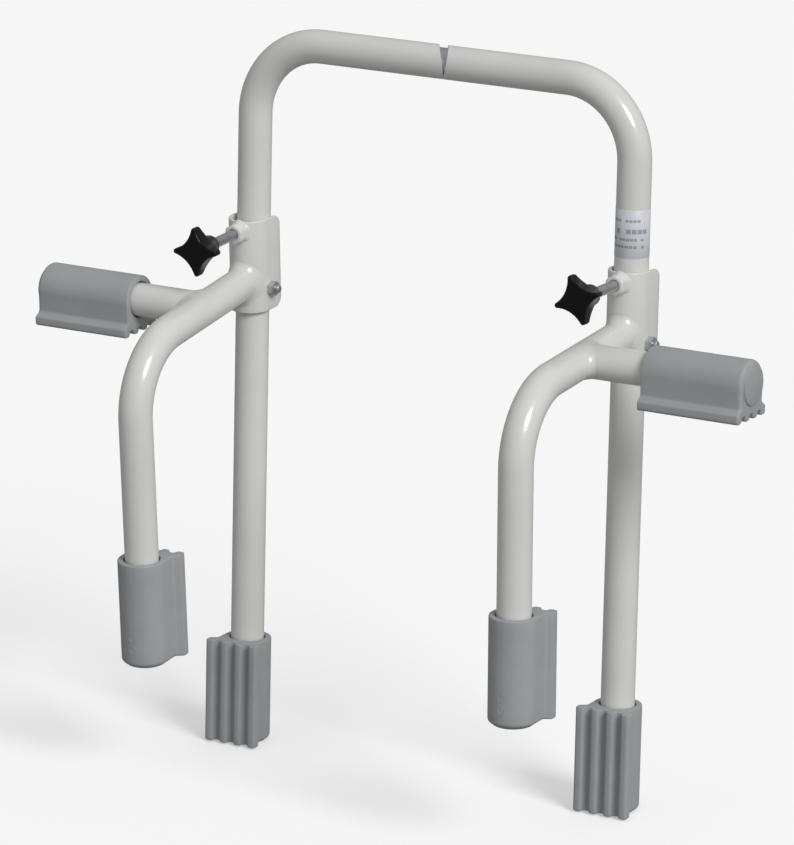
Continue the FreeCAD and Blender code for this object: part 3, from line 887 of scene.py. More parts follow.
def rounded(before: Vector, corner: Vector, after: Vector, radius: float, parts: int = 5) -> list[Vector]:
    """A corner in the XY plane, rounded.

    Args:
        before: a point on the line into the corner.
        corner: the corner.
        after: a point on the line out of it.
        radius: its rounding.
        parts: steps round it.

    Returns:
        The points of the rounding.
    """
    a, b = (before - corner).normalized(), (after - corner).normalized()
    half = a.angle(b) / 2
    hub = corner + (a + b).normalized() * (radius / math.sin(half))
    first = corner + a * (radius / math.tan(half)) - hub
    last = corner + b * (radius / math.tan(half)) - hub
    turn = math.atan2(first.x * last.y - first.y * last.x, first.dot(last))
    return [hub + Matrix.Rotation(turn * k / parts, 3, "Z") @ first for k in range(parts + 1)]


def inset(loop: Sequence[Vector], depth: Union[float, Sequence[float]]) -> list[Vector]:
    """Moves a counter-clockwise XY loop inward.

    Args:
        loop: the loop.
        depth: how far, for all points or for each.

    Returns:
        The moved loop.
    """
    made = []
    for k, point in enumerate(loop):
        run = loop[(k + 1) % len(loop)] - loop[k - 1]
        inward = Vector((-run.y, run.x, 0.0)).normalized()
        made.append(point + inward * (depth if isinstance(depth, (int, float)) else depth[k]))
    return made


def circle(radius: float, z: float, count: int = AROUND) -> list[Vector]:
    """A round ring about Z, at a height."""
    return [Vector((radius * math.cos(math.tau * k / count), radius * math.sin(math.tau * k / count), z))
            for k in range(count)]


def at_height(loop: Sequence[Vector], z: float) -> list[Vector]:
    """A loop lifted to a height."""
    return [Vector((p.x, p.y, z)) for p in loop]


# ---------------------------------------------------------------- surfaces and weld beads


@dataclass(frozen=True)
class Round:
    """A round tube's outside, as a weld meets it."""

    point: Vector
    axis: Vector
    radius: float

    def out(self, at: Vector) -> Vector:
        """The outward direction at a point near the surface."""
        off = at - self.point
        return (off - self.axis * off.dot(self.axis)).normalized()

    def land(self, at: Vector, sink: float) -> Vector:
        """A point moved onto the surface.

        Args:
            at: a point near it.
            sink: how far below the surface it ends.

        Returns:
            The moved point.
        """
        off = at - self.point
        foot = self.point + self.axis * off.dot(self.axis)
        return foot + (at - foot).normalized() * (self.radius - sink)


@dataclass(frozen=True)
class Bead:
    """A painted fillet weld round a branch tube."""

    branch: Round
    host: Round
    leg: float
    lump: float = 0.35
    pitch: float = 7.0
    seed: float = 0.0
    sink: float = 0.2

    def mesh(self, name: str, seam: Sequence[Vector], closed: bool = True) -> bpy.types.Mesh:
        """The weld along a seam.

        Args:
            name: the mesh's name.
            seam: points where the two surfaces meet, counter-clockwise about the branch's way out.
            closed: whether the seam is a whole ring.

        Returns:
            The mesh.
        """
        skin = Skin()
        count = len(seam)
        rings, walked = [], 0.0
        for k, point in enumerate(seam):
            ahead = seam[(k + 1) % count] if closed or k < count - 1 else point
            behind = seam[k - 1] if closed or k else point
            walked += (point - seam[k - 1]).length if k else 0.0
            rings.append(self._section(point, (ahead - behind).normalized(), walked))
        made = skin.loft(rings, closed=closed)
        if not closed:
            skin.cap(made[0])
            skin.cap(made[-1])
        return skin.mesh(name, crease=50.0)

    def _section(self, point: Vector, run: Vector, walked: float) -> list[Vector]:
        """One cross-section of the bead.

        Args:
            point: where the surfaces meet.
            run: the seam's direction.
            walked: how far along the seam this is.

        Returns:
            The section's points.
        """
        n1, n2 = self.branch.out(point), self.host.out(point)
        up, down = n1.cross(run).normalized(), run.cross(n2).normalized()
        wave = noise.noise(Vector((walked / self.pitch, self.seed, 0.0)))
        slow = noise.noise(Vector((walked / 19.0, self.seed, 5.0)))
        width = self.leg * (1.0 + 0.10 * wave + 0.14 * slow)
        top = self.branch.land(point + up * width, self.sink)
        foot = self.host.land(point + down * width, self.sink)
        out = (n1 + n2).normalized()
        belly = point + out * (self.leg * 0.22 + self.lump * wave)
        arc = [top.lerp(belly, t).lerp(belly.lerp(foot, t), t) for t in (k / 8 for k in range(9))]
        return arc + [self.host.land(foot, 1.0), point - out * 1.2, self.branch.land(top, 1.0)]


# ---------------------------------------------------------------- sub-assemblies


@dataclass
class Handle:
    """The two bent tube halves, their inner spigot and the rating label."""

    shop: Workshop
    tube: float = 12.5
    wall: float = 2.0
    bend: float = 55.6
    gap_half: float = 3.3
    gap_depth: float = 21.8
    gap_skew: float = math.radians(29.4)
    label_wrap: float = 300.0

    def build(self) -> None:
        """Makes both halves, the spigot's finish and the label."""
        for side in Side:
            self._half(side)
        self.shop.dress("handle_spigot", Zinc("zinc_spigot", along=(0.05, 1.0, 1.0)))
        self._label()

    def _half(self, side: Side) -> None:
        """One tube half.

        Args:
            side: which half.
        """
        node = f"handle_tube_{side.word}"
        pivot = self.shop.pivot(side)
        low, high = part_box(node)
        foot, top = (low.z - pivot.z) / MM, (high.z - pivot.z) / MM
        spread = abs(pivot.x) / MM
        toward = -side.value
        route = Route(Vector((0, 0, foot)), Vector((0, 0, 1)), Vector((0, toward, 0))).stop()
        route.run(top - self.tube - self.bend - foot, 12)
        route.bend(self.bend, math.radians(90.0))
        route.run(spread - self.bend, 6)
        slant = self.gap_half / self.gap_depth

        def cut(point: Vector) -> float:
            """How far short of the middle the bar's end is cut."""
            short = max(0.04, (point.z - (top - self.gap_depth)) * slant)
            return -short / math.cos(self.gap_skew) - toward * point.y * math.tan(self.gap_skew)

        skin = Skin()
        skin.pipe(route.stations, self.tube, self.tube - self.wall, end=cut)
        mesh = skin.mesh(node)
        self.shop.fit(f"{side.word}_tube", mesh, Matrix.Translation(pivot), "handle", PowderCoat(), [node])

    def _label(self) -> None:
        """The film wrapped round the right leg, open at the back."""
        pivot = self.shop.pivot(Side.RIGHT)
        low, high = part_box("rating_label")
        bottom, top = (low.z - pivot.z) / MM, (high.z - pivot.z) / MM
        thick = (high.x - low.x) / MM / 2
        inner = self.tube - 0.02
        half = math.radians(self.label_wrap / 2)
        skin, columns, parts = Skin(), [], 90
        for k in range(parts + 1):
            turn = -math.pi / 2 - half + 2 * half * k / parts
            way = Vector((math.cos(turn), math.sin(turn), 0))
            columns.append([way * r + Vector((0, 0, z)) for r, z in
                            ((inner, bottom), (thick - 0.04, bottom), (thick, bottom + 0.04),
                             (thick, top - 0.04), (thick - 0.04, top), (inner, top))])
        made = skin.loft(columns)
        skin.cap(made[0])
        skin.cap(made[-1])
        film = LabelFilm(self.tube * MM, bottom * MM, top * MM)
        self.shop.fit("label_film", skin.mesh("label_film", 60.0), Matrix.Translation(pivot), "handle", film,
                      ["rating_label"])


@dataclass
class RubberPad:
    """A ribbed push-on rubber pad."""

    shop: Workshop
    side: Side
    foot: Foot
    body: str
    radius: float = 18.0
    length: float = 80.4
    bore: float = 12.55
    bore_end: float = 8.0
    mouth: float = 13.7
    mouth_depth: float = 6.0
    crest: float = 25.0
    valley: float = 20.8
    flange_half: float = 22.0
    flange_top: float = 18.3
    rib_pitch: float = 12.2
    rib_width: float = 7.4
    rib_round: float = 2.4
    rib_lean: float = 0.8
    valley_round: float = 1.6
    edge_round: float = 1.6
    neck: float = 17.3
    neck_drop: float = 15.0
    neck_round: float = 2.5
    disc: float = 14.5
    disc_height: float = 1.2
    end_round: float = 3.6
    flange_round: float = 1.5
    lip: float = 1.0
    mark_heights: tuple[float, float] = (24.0, 14.5)
    mark_radius: float = 3.2
    mark_line: float = 0.55

    def build(self) -> None:
        """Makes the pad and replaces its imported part."""
        node = f"{self.foot.value}_pad_{self.side.word}"
        to_face = Vector((self.rib_pitch / 2, -self.crest, -self.length / 2))
        place = self.shop.pad_place(self.side, self.foot, to_face)
        skin = self._skin()
        if self.foot is Foot.ARM:
            self._marks(skin)
        self.shop.fit(f"{self.side.word}_{self.foot.value}_rubber", skin.mesh(node, 38.0), place, self.body,
                      Rubber(), [node])

    def _right_half(self) -> list[Vector]:
        """The outline's right half, from the bottom middle up to the top."""
        pitch, half, lean = self.rib_pitch, self.rib_width / 2, self.rib_lean
        corners = [Vector((0, -self.valley, 0))]
        rounds = [0.0]
        for centre, last in ((pitch / 2, False), (pitch * 1.5, True)):
            right = self.flange_half if last else centre + half
            corners += [Vector((centre - half, -self.valley, 0)),
                        Vector((centre - half + lean, -self.crest, 0)),
                        Vector((right - lean * (not last), -self.crest, 0))]
            rounds += [self.valley_round, self.rib_round, self.rib_round]
            if not last:
                corners.append(Vector((right, -self.valley, 0)))
                rounds.append(self.valley_round)
        neck = Vector((self.neck, -self.neck_drop, 0))
        # the flat side runs from the neck to where it touches the sleeve
        turn = math.atan2(neck.y, neck.x) + math.acos(self.radius / neck.length)
        touch = Vector((math.cos(turn), math.sin(turn), 0)) * self.radius
        corners += [Vector((self.flange_half, -self.flange_top, 0)), neck, touch]
        rounds += [self.edge_round, self.neck_round]
        made = []
        for k in range(1, len(corners) - 1):
            made += rounded(corners[k - 1], corners[k], corners[k + 1], rounds[k])
        return made + arc_points(Vector((0, 0, 0)), self.radius, turn, math.pi / 2, 44)

    def _outline(self) -> list[Vector]:
        """The whole outline, counter-clockwise seen from +Z."""
        right = self._right_half()
        left = [Vector((-p.x, p.y, 0)) for p in reversed(right[:-1])]
        return right + left

    def _skin(self) -> Skin:
        """The pad's closed shell."""
        skin = Skin()
        outline = self._outline()
        high = [min(1.0, max(0.0, (p.y + self.flange_top) / 7.0)) for p in outline]
        ease = [h * h * (3 - 2 * h) for h in high]
        end = [self.flange_round + (self.end_round - self.flange_round) * e for e in ease]
        lip = [0.5 + (self.lip - 0.5) * e for e in ease]
        closed = -self.length + self.disc_height
        rings = []
        for k in range(5):
            turn = math.pi / 2 * k / 4
            loop = inset(outline, [w * (1 - math.sin(turn)) for w in lip])
            rings.append([Vector((p.x, p.y, -w * (1 - math.cos(turn)))) for p, w in zip(loop, lip)])
        spans = 10
        for k in range(1, spans):
            rings.append(at_height(outline, -self.lip + (closed + self.end_round + self.lip) * k / spans))
        for k in range(9):
            turn = math.pi / 2 * k / 8
            loop = inset(outline, [w * (1 - math.cos(turn)) for w in end])
            rings.append([Vector((p.x, p.y, closed + w * (1 - math.sin(turn)))) for p, w in zip(loop, end)])
        made = skin.loft(rings)
        self._mouth(skin, made[0])
        self._disc(skin, made[-1], closed)
        return skin

    def _mouth(self, skin: Skin, rim: list[int]) -> None:
        """The lead-in and the blind bore.

        Args:
            skin: the pad's shell.
            rim: its ring at the mouth.
        """
        depth = self.length - self.bore_end
        profile = [(self.mouth + 0.4, 0.0), (self.mouth, -0.4), (self.mouth, 0.8 - self.mouth_depth),
                   (self.bore, -self.mouth_depth), (self.bore, -depth)]
        made = skin.loft([circle(r, z) for r, z in profile])
        skin.web(rim, made[0])
        skin.cap(made[-1])

    def _disc(self, skin: Skin, rim: list[int], closed: float) -> None:
        """The raised disc on the closed end.

        Args:
            skin: the pad's shell.
            rim: its last ring.
            closed: height of the closed end.
        """
        low = closed - self.disc_height
        profile = [(self.disc + 0.3, closed), (self.disc, closed - 0.3), (self.disc, low + 0.5),
                   (self.disc - 0.15, low + 0.15), (self.disc - 0.5, low)]
        made = skin.loft([circle(r, z) for r, z in profile])
        skin.web(rim, made[0])
        skin.cap(made[-1])

    def _marks(self, skin: Skin) -> None:
        """Two faint raised moulding rings low on the sleeve's outer face."""
        for above_end in self.mark_heights:
            self._mark(skin, above_end - self.length)

    def _mark(self, skin: Skin, height: float) -> None:
        """One raised ring on the sleeve.

        Args:
            skin: the pad's shell.
            height: its middle along the pad.
        """
        outer, inner, corners, rings = self.mark_radius, self.mark_radius - self.mark_line, 24, []
        for size, lift in ((outer + 0.1, -0.3), (outer, 0.05), (outer - 0.12, 0.16), (inner + 0.12, 0.16),
                           (inner, 0.05), (inner - 0.1, -0.3)):
            ring = []
            for k in range(corners):
                turn = math.tau * k / corners
                swing = math.pi / 2 + size * math.cos(turn) / self.radius
                reach = self.radius + lift
                ring.append(Vector((reach * math.cos(swing), reach * math.sin(swing),
                                    height + size * math.sin(turn))))
            rings.append(ring)
        skin.loft(rings, closed=True)


@dataclass
class Clamp:
    """One bent bracket with its arm, stub, weld nut, welds and pivot bolt."""

    shop: Workshop
    side: Side
    tube: float = 12.5
    wall: float = 2.0
    oval_in: float = 12.9
    oval_out: float = 15.4
    front: float = -3.0
    rear: float = 15.3
    top: float = 53.5
    bottom: float = -17.0
    corner: float = 8.0
    arm_height: float = 7.0
    arm_slope: float = math.radians(5.65)
    arm_bend: float = 54.0
    arm_toe: float = math.radians(1.7)
    arm_reach: float = -163.6
    arm_drop: float = -165.4
    stub_at: float = -70.5
    stub_mouth: float = 54.8
    in_pad: float = 72.4
    screw_height: float = 45.5
    nut_face: float = -27.0
    nut_flats: float = 14.0
    bolt_flats: float = 10.0
    bolt_head: float = 4.0
    bolt_nut: float = 5.0
    bolt_past: float = 8.0
    shank: float = 2.95
    groove: float = 2.45
    smooth: float = 8.0
    near: float = 30.0
    stub_near: float = 24.0
    arm_bead: float = 5.6
    stub_bead: float = 5.2

    def build(self) -> None:
        """Makes every piece of the clamp and its two pads."""
        self.place = self.shop.clamp_place(self.side)
        self.body = f"clamp_{self.side.word}"
        self._bracket()
        self._arm()
        self._stub()
        self._weld_nut()
        self._bolt()
        self._nut()
        for foot in (Foot.REST, Foot.ARM):
            RubberPad(self.shop, self.side, foot, self.body).build()

    def _fit(self, name: str, mesh: bpy.types.Mesh, finish: object, stands_for: Sequence[str] = ()) -> None:
        """Puts one piece on the clamp.

        Args:
            name: the piece's name without its side.
            mesh: its mesh.
            finish: its finish.
            stands_for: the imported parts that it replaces.
        """
        self.shop.fit(f"{self.side.word}_{name}", mesh, self.place, self.body, finish, stands_for)

    @property
    def forward(self) -> Vector:
        """The arm's way forward from the bracket."""
        return Vector((0, -math.cos(self.arm_slope), -math.sin(self.arm_slope)))

    @property
    def arm(self) -> Round:
        """The outside of the arm's straight run."""
        return Round(Vector((0, 0, self.arm_height)), self.forward, self.tube)

    @property
    def oval(self) -> Round:
        """The outside of the bracket's round front."""
        return Round(Vector((0, self.front, 0)), Vector((0, 0, 1)), self.oval_out)

    def _plan(self) -> Iterator[tuple[float, float, float, float]]:
        """Each column of the plate, from one rear edge round the front to the other.

        Yields:
            Its centre along Y, its outward angle, how far the corner cuts it, how far its faces draw in.
        """
        rim = [math.radians(10.0 * k) for k in range(9, -1, -1)]
        plate = [(self.rear - self.corner * (1 - math.sin(phi)), self.corner * (1 - math.cos(phi)),
                  0.4 * math.sin(phi) ** 12) for phi in rim]
        for centre, drop, tight in plate:
            yield centre, math.pi, drop, tight
        for k in range(33):
            yield self.front, math.pi * (1 + k / 32), 0.0, 0.0
        for centre, drop, tight in reversed(plate):
            yield centre, 0.0, drop, tight

    def _bracket(self) -> None:
        """The plate bent round the leg, its rear corners rounded."""
        soft, skin, columns = 0.8, Skin(), []
        for centre, turn, drop, tight in self._plan():
            way = Vector((math.cos(turn), math.sin(turn), 0))
            outer, inner = self.oval_out - soft - tight, self.oval_in + soft + tight
            high, low = self.top - drop - soft - tight, self.bottom + drop + soft + tight
            column = []
            for radius, z, start in ((outer, high, 90.0), (outer, low, 0.0),
                                     (inner, low, -90.0), (inner, high, 180.0)):
                for k in range(5):
                    swing = math.radians(start - 22.5 * k)
                    column.append(Vector((0, centre, z + soft * math.sin(swing)))
                                  + way * (radius + soft * math.cos(swing)))
            columns.append(column)
        skin.solid(columns)
        self._fit("bracket_sleeve", skin.mesh("bracket", 40.0), PowderCoat(), [f"bracket_{self.side.word}"])

    def _arm(self) -> None:
        """The bent arm, coped to the bracket, and its weld."""
        foot_way = Vector((0, math.sin(self.arm_toe), -math.cos(self.arm_toe)))
        start, end = self.arm.point, Vector((0, self.arm_reach, self.arm_drop))
        turn = self.forward.angle(foot_way)
        tangent = self.arm_bend * math.tan(turn / 2)
        gap = end - start
        # the two straight runs meet where start + forward * first = end - foot_way * second
        det = self.forward.y * foot_way.z - self.forward.z * foot_way.y
        first = (gap.y * foot_way.z - gap.z * foot_way.y) / det
        second = (self.forward.y * gap.z - self.forward.z * gap.y) / det
        route = Route(start.copy(), self.forward, Vector((-1, 0, 0))).stop()
        route.run(self.near, 2).run(first - tangent - self.near, 6)
        route.bend(self.arm_bend, -turn if self._turns_wrong(route, foot_way) else turn)
        route.run(second - tangent + self.in_pad, 10)
        skin = Skin()
        reach = self.oval_out - 0.6

        def cope(point: Vector) -> float:
            """How far along the arm the sleeve's surface is."""
            target = self.front - math.sqrt(max(1.0, reach * reach - point.x * point.x))
            return (target - point.y) / self.forward.y

        skin.pipe(route.stations, self.tube, self.tube - self.wall, start=cope)
        self._fit("arm_tube", skin.mesh("arm"), PowderCoat(), [f"clamp_arm_{self.side.word}"])
        seam = []
        over = self.forward.cross(Vector((1, 0, 0)))
        for k in range(SEAM):
            swing = math.tau * k / SEAM
            point = start + (Vector((1, 0, 0)) * math.cos(swing) + over * math.sin(swing)) * self.tube
            target = self.front - math.sqrt(self.oval_out**2 - point.x**2)
            seam.append(point + self.forward * ((target - point.y) / self.forward.y))
        if self._clockwise(seam, self.forward):
            seam.reverse()
        bead = Bead(self.arm, self.oval, self.arm_bead, seed=3.0 * self.side.value)
        self._fit("arm_weld", bead.mesh("arm_weld", seam), PowderCoat())

    @staticmethod
    def _turns_wrong(route: Route, foot_way: Vector) -> bool:
        """Whether a positive bend would turn the arm up and not down."""
        return route.side.cross(route.along).dot(foot_way) < 0

    @staticmethod
    def _clockwise(seam: Sequence[Vector], way: Vector) -> bool:
        """Whether a seam runs clockwise about a direction."""
        middle = sum(seam, Vector((0, 0, 0))) / len(seam)
        total = sum(((seam[k - 1] - middle).cross(seam[k] - middle)).dot(way) for k in range(len(seam)))
        return total < 0

    def _stub(self) -> None:
        """The stub that carries the rest pad, and its weld."""
        out = Vector((self.side.value, 0, 0))
        drop = self.stub_at * math.tan(self.arm_slope)
        centre = Vector((0, self.stub_at, self.arm_height + drop))
        stub = Round(centre, out, self.tube)
        across = out.cross(self.forward)

        def depth(point: Vector, radius: float) -> float:
            """How far out the arm's surface is at a point's height on it."""
            off = (point - centre).dot(across)
            return math.sqrt(max(0.0, radius * radius - off * off))

        route = Route(centre.copy(), out, Vector((0, 1, 0))).stop()
        route.run(self.stub_near, 2).run(self.stub_mouth + self.in_pad - self.stub_near, 8)
        skin = Skin()
        skin.pipe(route.stations, self.tube, self.tube - self.wall,
                  start=lambda point: depth(point, self.tube - 0.5) + 0.2)
        self._fit("stub_tube", skin.mesh("stub"), PowderCoat(), [f"rest_stub_{self.side.word}"])
        seam = []
        for k in range(SEAM):
            swing = math.tau * (k + 0.5) / SEAM
            point = centre + (self.forward * math.cos(swing) + across * math.sin(swing)) * self.tube
            seam.append(point + out * depth(point, self.tube))
        if self._clockwise(seam, out):
            seam.reverse()
        bead = Bead(stub, self.arm, self.stub_bead, seed=11.0 + self.side.value)
        self._fit("stub_weld", bead.mesh("stub_weld", seam), PowderCoat())

    def _hexagon(self, flats: float, round_to: float, count: int = 72, turn: float = 0.0) -> list[Vector]:
        """A hexagon's outline with softened corners, in the XY plane.

        Args:
            flats: across its flats.
            round_to: largest radius that a corner keeps.
            count: points round it.
            turn: angle of its first corner.

        Returns:
            The points.
        """
        made = []
        for k in range(count):
            swing = math.tau * k / count
            near = (swing - turn + math.pi / 6) % (math.pi / 3) - math.pi / 6
            reach = flats / 2 / math.cos(math.pi / 6 - abs(near))
            made.append(Vector((math.cos(swing), math.sin(swing), 0)) * min(reach, round_to))
        return made

    def _weld_nut(self) -> None:
        """The painted hexagon nut welded to the bracket's front."""
        corner = self.nut_flats / math.sqrt(3)
        around = 96
        hexagon = self._hexagon(self.nut_flats, self.nut_flats / 2 + 0.45, around, math.pi / 2)
        bore, soft = 4.15, 1.6

        def face(loop: Sequence[Vector], y: float) -> list[Vector]:
            """A plan loop stood up in front of the bracket."""
            return [Vector((p.x, y, p.y + self.screw_height)) for p in loop]

        def on_sleeve(loop: Sequence[Vector], proud: float) -> list[Vector]:
            """A plan loop laid on the bracket's surface."""
            return [Vector((p.x, self.front - math.sqrt(self.oval_out**2 - p.x**2) - proud,
                            p.y + self.screw_height)) for p in loop]

        hole = circle(1.0, 0.0, around)
        rings = [face([p * bore for p in hole], -16.2), face([p * bore for p in hole], self.nut_face + 0.5),
                 face([p * (bore + 0.5) for p in hole], self.nut_face)]
        for k in range(5):
            swing = math.pi / 2 * k / 4
            scale = 1 - soft * (1 - math.sin(swing)) / corner
            rings.append(face([p * scale for p in hexagon], self.nut_face + soft * (1 - math.cos(swing))))
        for k, (spread, proud) in enumerate(((0.0, 3.2), (0.25, 1.6), (0.8, 0.7), (1.8, 0.05), (2.0, -0.6))):
            scale = 1 + spread / corner
            wobble = [0.25 * k * noise.noise(Vector((p.x / 3, p.y / 3, 7.0 * self.side.value)))
                      for p in hexagon]
            rings.append(on_sleeve([p * (scale + w / corner * 0.5) for p, w in zip(hexagon, wobble)], proud))
        skin = Skin()
        skin.loft(rings, closed=True)
        self._fit("nut_boss", skin.mesh("weld_nut", 36.0), PowderCoat(), [f"weld_nut_{self.side.word}"])

    def _hex_head(self, skin: Skin, base: float, height: float, way: float, hollow: float = 0.0) -> None:
        """A chamfered hexagon along X.

        Args:
            skin: what it is added to.
            base: X of its bearing face.
            height: its thickness.
            way: 1 if it stands out along +X, -1 along -X.
            hollow: radius of a shallow dish in its outer face.
        """
        flat = self.bolt_flats / 2
        loop = self._hexagon(self.bolt_flats, flat / math.cos(math.pi / 6) - 0.12, 72, math.pi / 6)
        face, fall = flat * 0.95, math.tan(math.radians(30.0))

        def stood(points: Iterable[tuple[Vector, float]]) -> list[Vector]:
            """Plan points with heights, turned to lie along X."""
            return [Vector((base + way * h, p.x, p.y)) for p, h in points]

        def ringed(radius: float, h: float) -> list[Vector]:
            """A round ring at a height."""
            return stood((p.normalized() * radius, h) for p in loop)

        rings = [ringed(flat * 0.9, 0.0), stood((p * 0.985, 0.0) for p in loop),
                 stood((p, 0.15) for p in loop),
                 stood((p, height - max(0.0, p.length - face) * fall) for p in loop), ringed(face, height)]
        if hollow:
            rings += [ringed(hollow, height), ringed(hollow - 0.25, height - 0.25)]
        skin.solid(rings)

    def _bolt(self) -> None:
        """The pivot bolt: head on the left, threaded end on the right."""
        skin = Skin()
        self._hex_head(skin, -self.oval_out, self.bolt_head, -1.0, hollow=3.4)
        profile = self._thread_profile(-self.oval_out, self.oval_out + self.bolt_past)
        skin.solid([[Vector((x, p.x, p.y)) for p in circle(radius, 0.0, 40)] for x, radius in profile])
        self._fit("pivot_screw", skin.mesh("pivot_bolt", 34.0), Zinc("zinc_bolt", along=(0.05, 1.0, 1.0)),
                  [f"pivot_bolt_{self.side.word}"])

    def _thread_profile(self, start: float, end: float) -> Iterator[tuple[float, float]]:
        """(X, radius) along the bolt's shank, plain and then grooved.

        Args:
            start: X of the head's bearing face.
            end: X of the bolt's end.

        Yields:
            The profile's points.
        """
        yield start, self.shank
        yield self.smooth, self.shank
        at = self.smooth
        while at < end - 1.5:
            yield at + 0.15, self.shank
            yield at + 0.5, self.groove
            yield at + 0.65, self.groove
            yield at + 1.0, self.shank
            at += 1.0
        yield end - 0.5, self.shank
        yield end - 0.15, self.shank - 0.35
        yield end, self.shank - 0.6

    def _nut(self) -> None:
        """The pivot bolt's nut."""
        skin = Skin()
        self._hex_head(skin, self.oval_out, self.bolt_nut, 1.0)
        self._fit("pivot_hex_nut", skin.mesh("pivot_nut", 34.0), Zinc("zinc_bolt", along=(0.05, 1.0, 1.0)),
                  [f"pivot_nut_{self.side.word}"])


@dataclass
class ClampScrew:
    """The star knob, its threaded screw and the thrust cap."""

    shop: Workshop
    side: Side
    turn_left: float = math.radians(3.0)
    turn_right: float = math.radians(20.0)
    tip_centre: float = 16.3
    tip_round: float = 2.0
    hollow_centre: float = 30.5
    hollow_round: float = 20.2
    height: float = 14.5
    dome: float = 1.0
    back_rise: float = 5.6
    front_round: float = 1.5
    back_round: float = 1.4
    hub: float = 8.5
    hub_length: float = 10.0
    crest: float = 3.95
    root: float = 3.3
    pitch: float = 1.25
    inside: float = 9.0
    shoulder: float = 52.7

    def build(self) -> None:
        """Makes the knob and screw and finishes the cap."""
        place = self.shop.knob_place(self.side)
        body = f"knob_{self.side.word}"
        turn = self.turn_left if self.side is Side.LEFT else self.turn_right
        star = place @ Matrix.Rotation(turn, 4, "Z")
        self.shop.fit(f"{self.side.word}_knob", self._star(), star, body, KnobPlastic(),
                      [f"star_knob_{self.side.word}"])
        self.shop.fit(f"{self.side.word}_thread", self._thread(), place, body, Zinc("zinc_screw"),
                      [f"clamp_screw_{self.side.word}"])
        self.shop.dress(f"thrust_cap_{self.side.word}", Nylon())

    def _lobes(self) -> list[Vector]:
        """The star's outline, counter-clockwise."""
        quarter = math.pi / 4
        hollow = Vector((math.cos(quarter), math.sin(quarter), 0)) * self.hollow_centre
        tip = Vector((self.tip_centre, 0, 0))
        swing = math.atan2(hollow.y - tip.y, hollow.x - tip.x)
        made = []
        for lobe in range(4):
            turn = Matrix.Rotation(lobe * math.pi / 2, 3, "Z")
            cap = arc_points(tip, self.tip_round, -swing, swing, 20)
            dip = arc_points(hollow, self.hollow_round, swing + math.pi, 2.5 * math.pi - swing - math.pi, 16)
            made += [turn @ p for p in cap + dip[1:-1]]
        return made

    def _back(self, point: Vector) -> float:
        """Height of the star's back, sloping forward from the hub to the tips."""
        reach = self.tip_centre + self.tip_round
        return self.back_rise * max(0.0, point.length - self.hub) / (reach - self.hub)

    def _front(self, point: Vector) -> float:
        """Height of the star's domed front."""
        return self.height - self.dome * (point.length / (self.tip_centre + self.tip_round)) ** 2

    def _star(self) -> bpy.types.Mesh:
        """The four-pointed knob with its hub."""
        skin = Skin()
        outline = self._lobes()

        def laid(scale: float, depth: float, height: Callable[[Vector], float], lift: float) -> list[Vector]:
            """A ring of the star laid on its back or its front."""
            flat = [p * scale for p in inset(outline, depth)]
            return [Vector((p.x, p.y, height(p) + lift)) for p in flat]

        rings = [laid(scale, self.back_round, self._back, 0.0) for scale in (0.45, 0.6, 0.8)]
        for k in range(6):
            swing = math.pi / 2 * k / 5
            rings.append(laid(1.0, self.back_round * (1 - math.sin(swing)), self._back,
                              self.back_round * (1 - math.cos(swing))))
        for k in range(9):
            swing = math.pi / 2 * k / 8
            rings.append(laid(1.0, self.front_round * (1 - math.cos(swing)), self._front,
                              -self.front_round * (1 - math.sin(swing))))
        rings += [laid(scale, self.front_round, self._front, 0.0) for scale in (0.85, 0.65, 0.4, 0.15)]
        skin.solid(rings)
        end = -self.hub_length
        skin.turned([(self.root + 0.9, end + 0.6), (self.hub - 1.9, end), (self.hub - 1.3, end + 0.12),
                     (self.hub - 0.9, end + 0.5), (self.hub - 0.7, end + 1.1), (self.hub - 0.05, -0.8),
                     (self.hub + 0.5, -0.15), (self.hub + 1.2, 0.4), (self.hub - 2.0, 1.5)], 64)
        return skin.mesh("star_knob", 44.0)

    def _thread(self) -> bpy.types.Mesh:
        """The screw, its thread a true helix."""
        skin, count = Skin(), 40
        profile = ((0.0, self.root), (0.18, self.root), (0.46, self.crest), (0.72, self.crest))
        low, high = -self.shoulder + 0.8, self.inside
        turns = math.ceil((high - low) / self.pitch) + 2
        rows: list[list[int]] = []
        for turn in range(-1, turns):
            for share, radius in profile:
                row = []
                for k in range(count):
                    swing = math.tau * k / count
                    z = low + self.pitch * (turn + share + k / count)
                    held = min(high, max(low, z))
                    reach = radius if held == z else self.root
                    row.append(Vector((reach * math.cos(swing), reach * math.sin(swing), held)))
                rows.append(skin.ring(row))
        step = len(profile)
        for k, row in enumerate(rows[:-1]):
            skin.bridge(row, rows[k + 1], closed=False)
            if k + step + 1 < len(rows):
                after, later = rows[k + step], rows[k + step + 1]
                skin.faces.append((row[-1], after[0], later[0], rows[k + 1][-1]))
        tip = -self.shoulder
        skin.turned([(2.0, tip - 3.4), (2.02, tip - 3.2), (2.02, tip - 0.1), (2.02, tip),
                     (self.root - 0.1, tip + 0.02),
                     (self.root + 0.05, tip + 0.3), (self.root + 0.05, low + 0.4)], count)
        return skin.mesh("clamp_screw", 50.0, weld=0.002)


# ---------------------------------------------------------------- studio


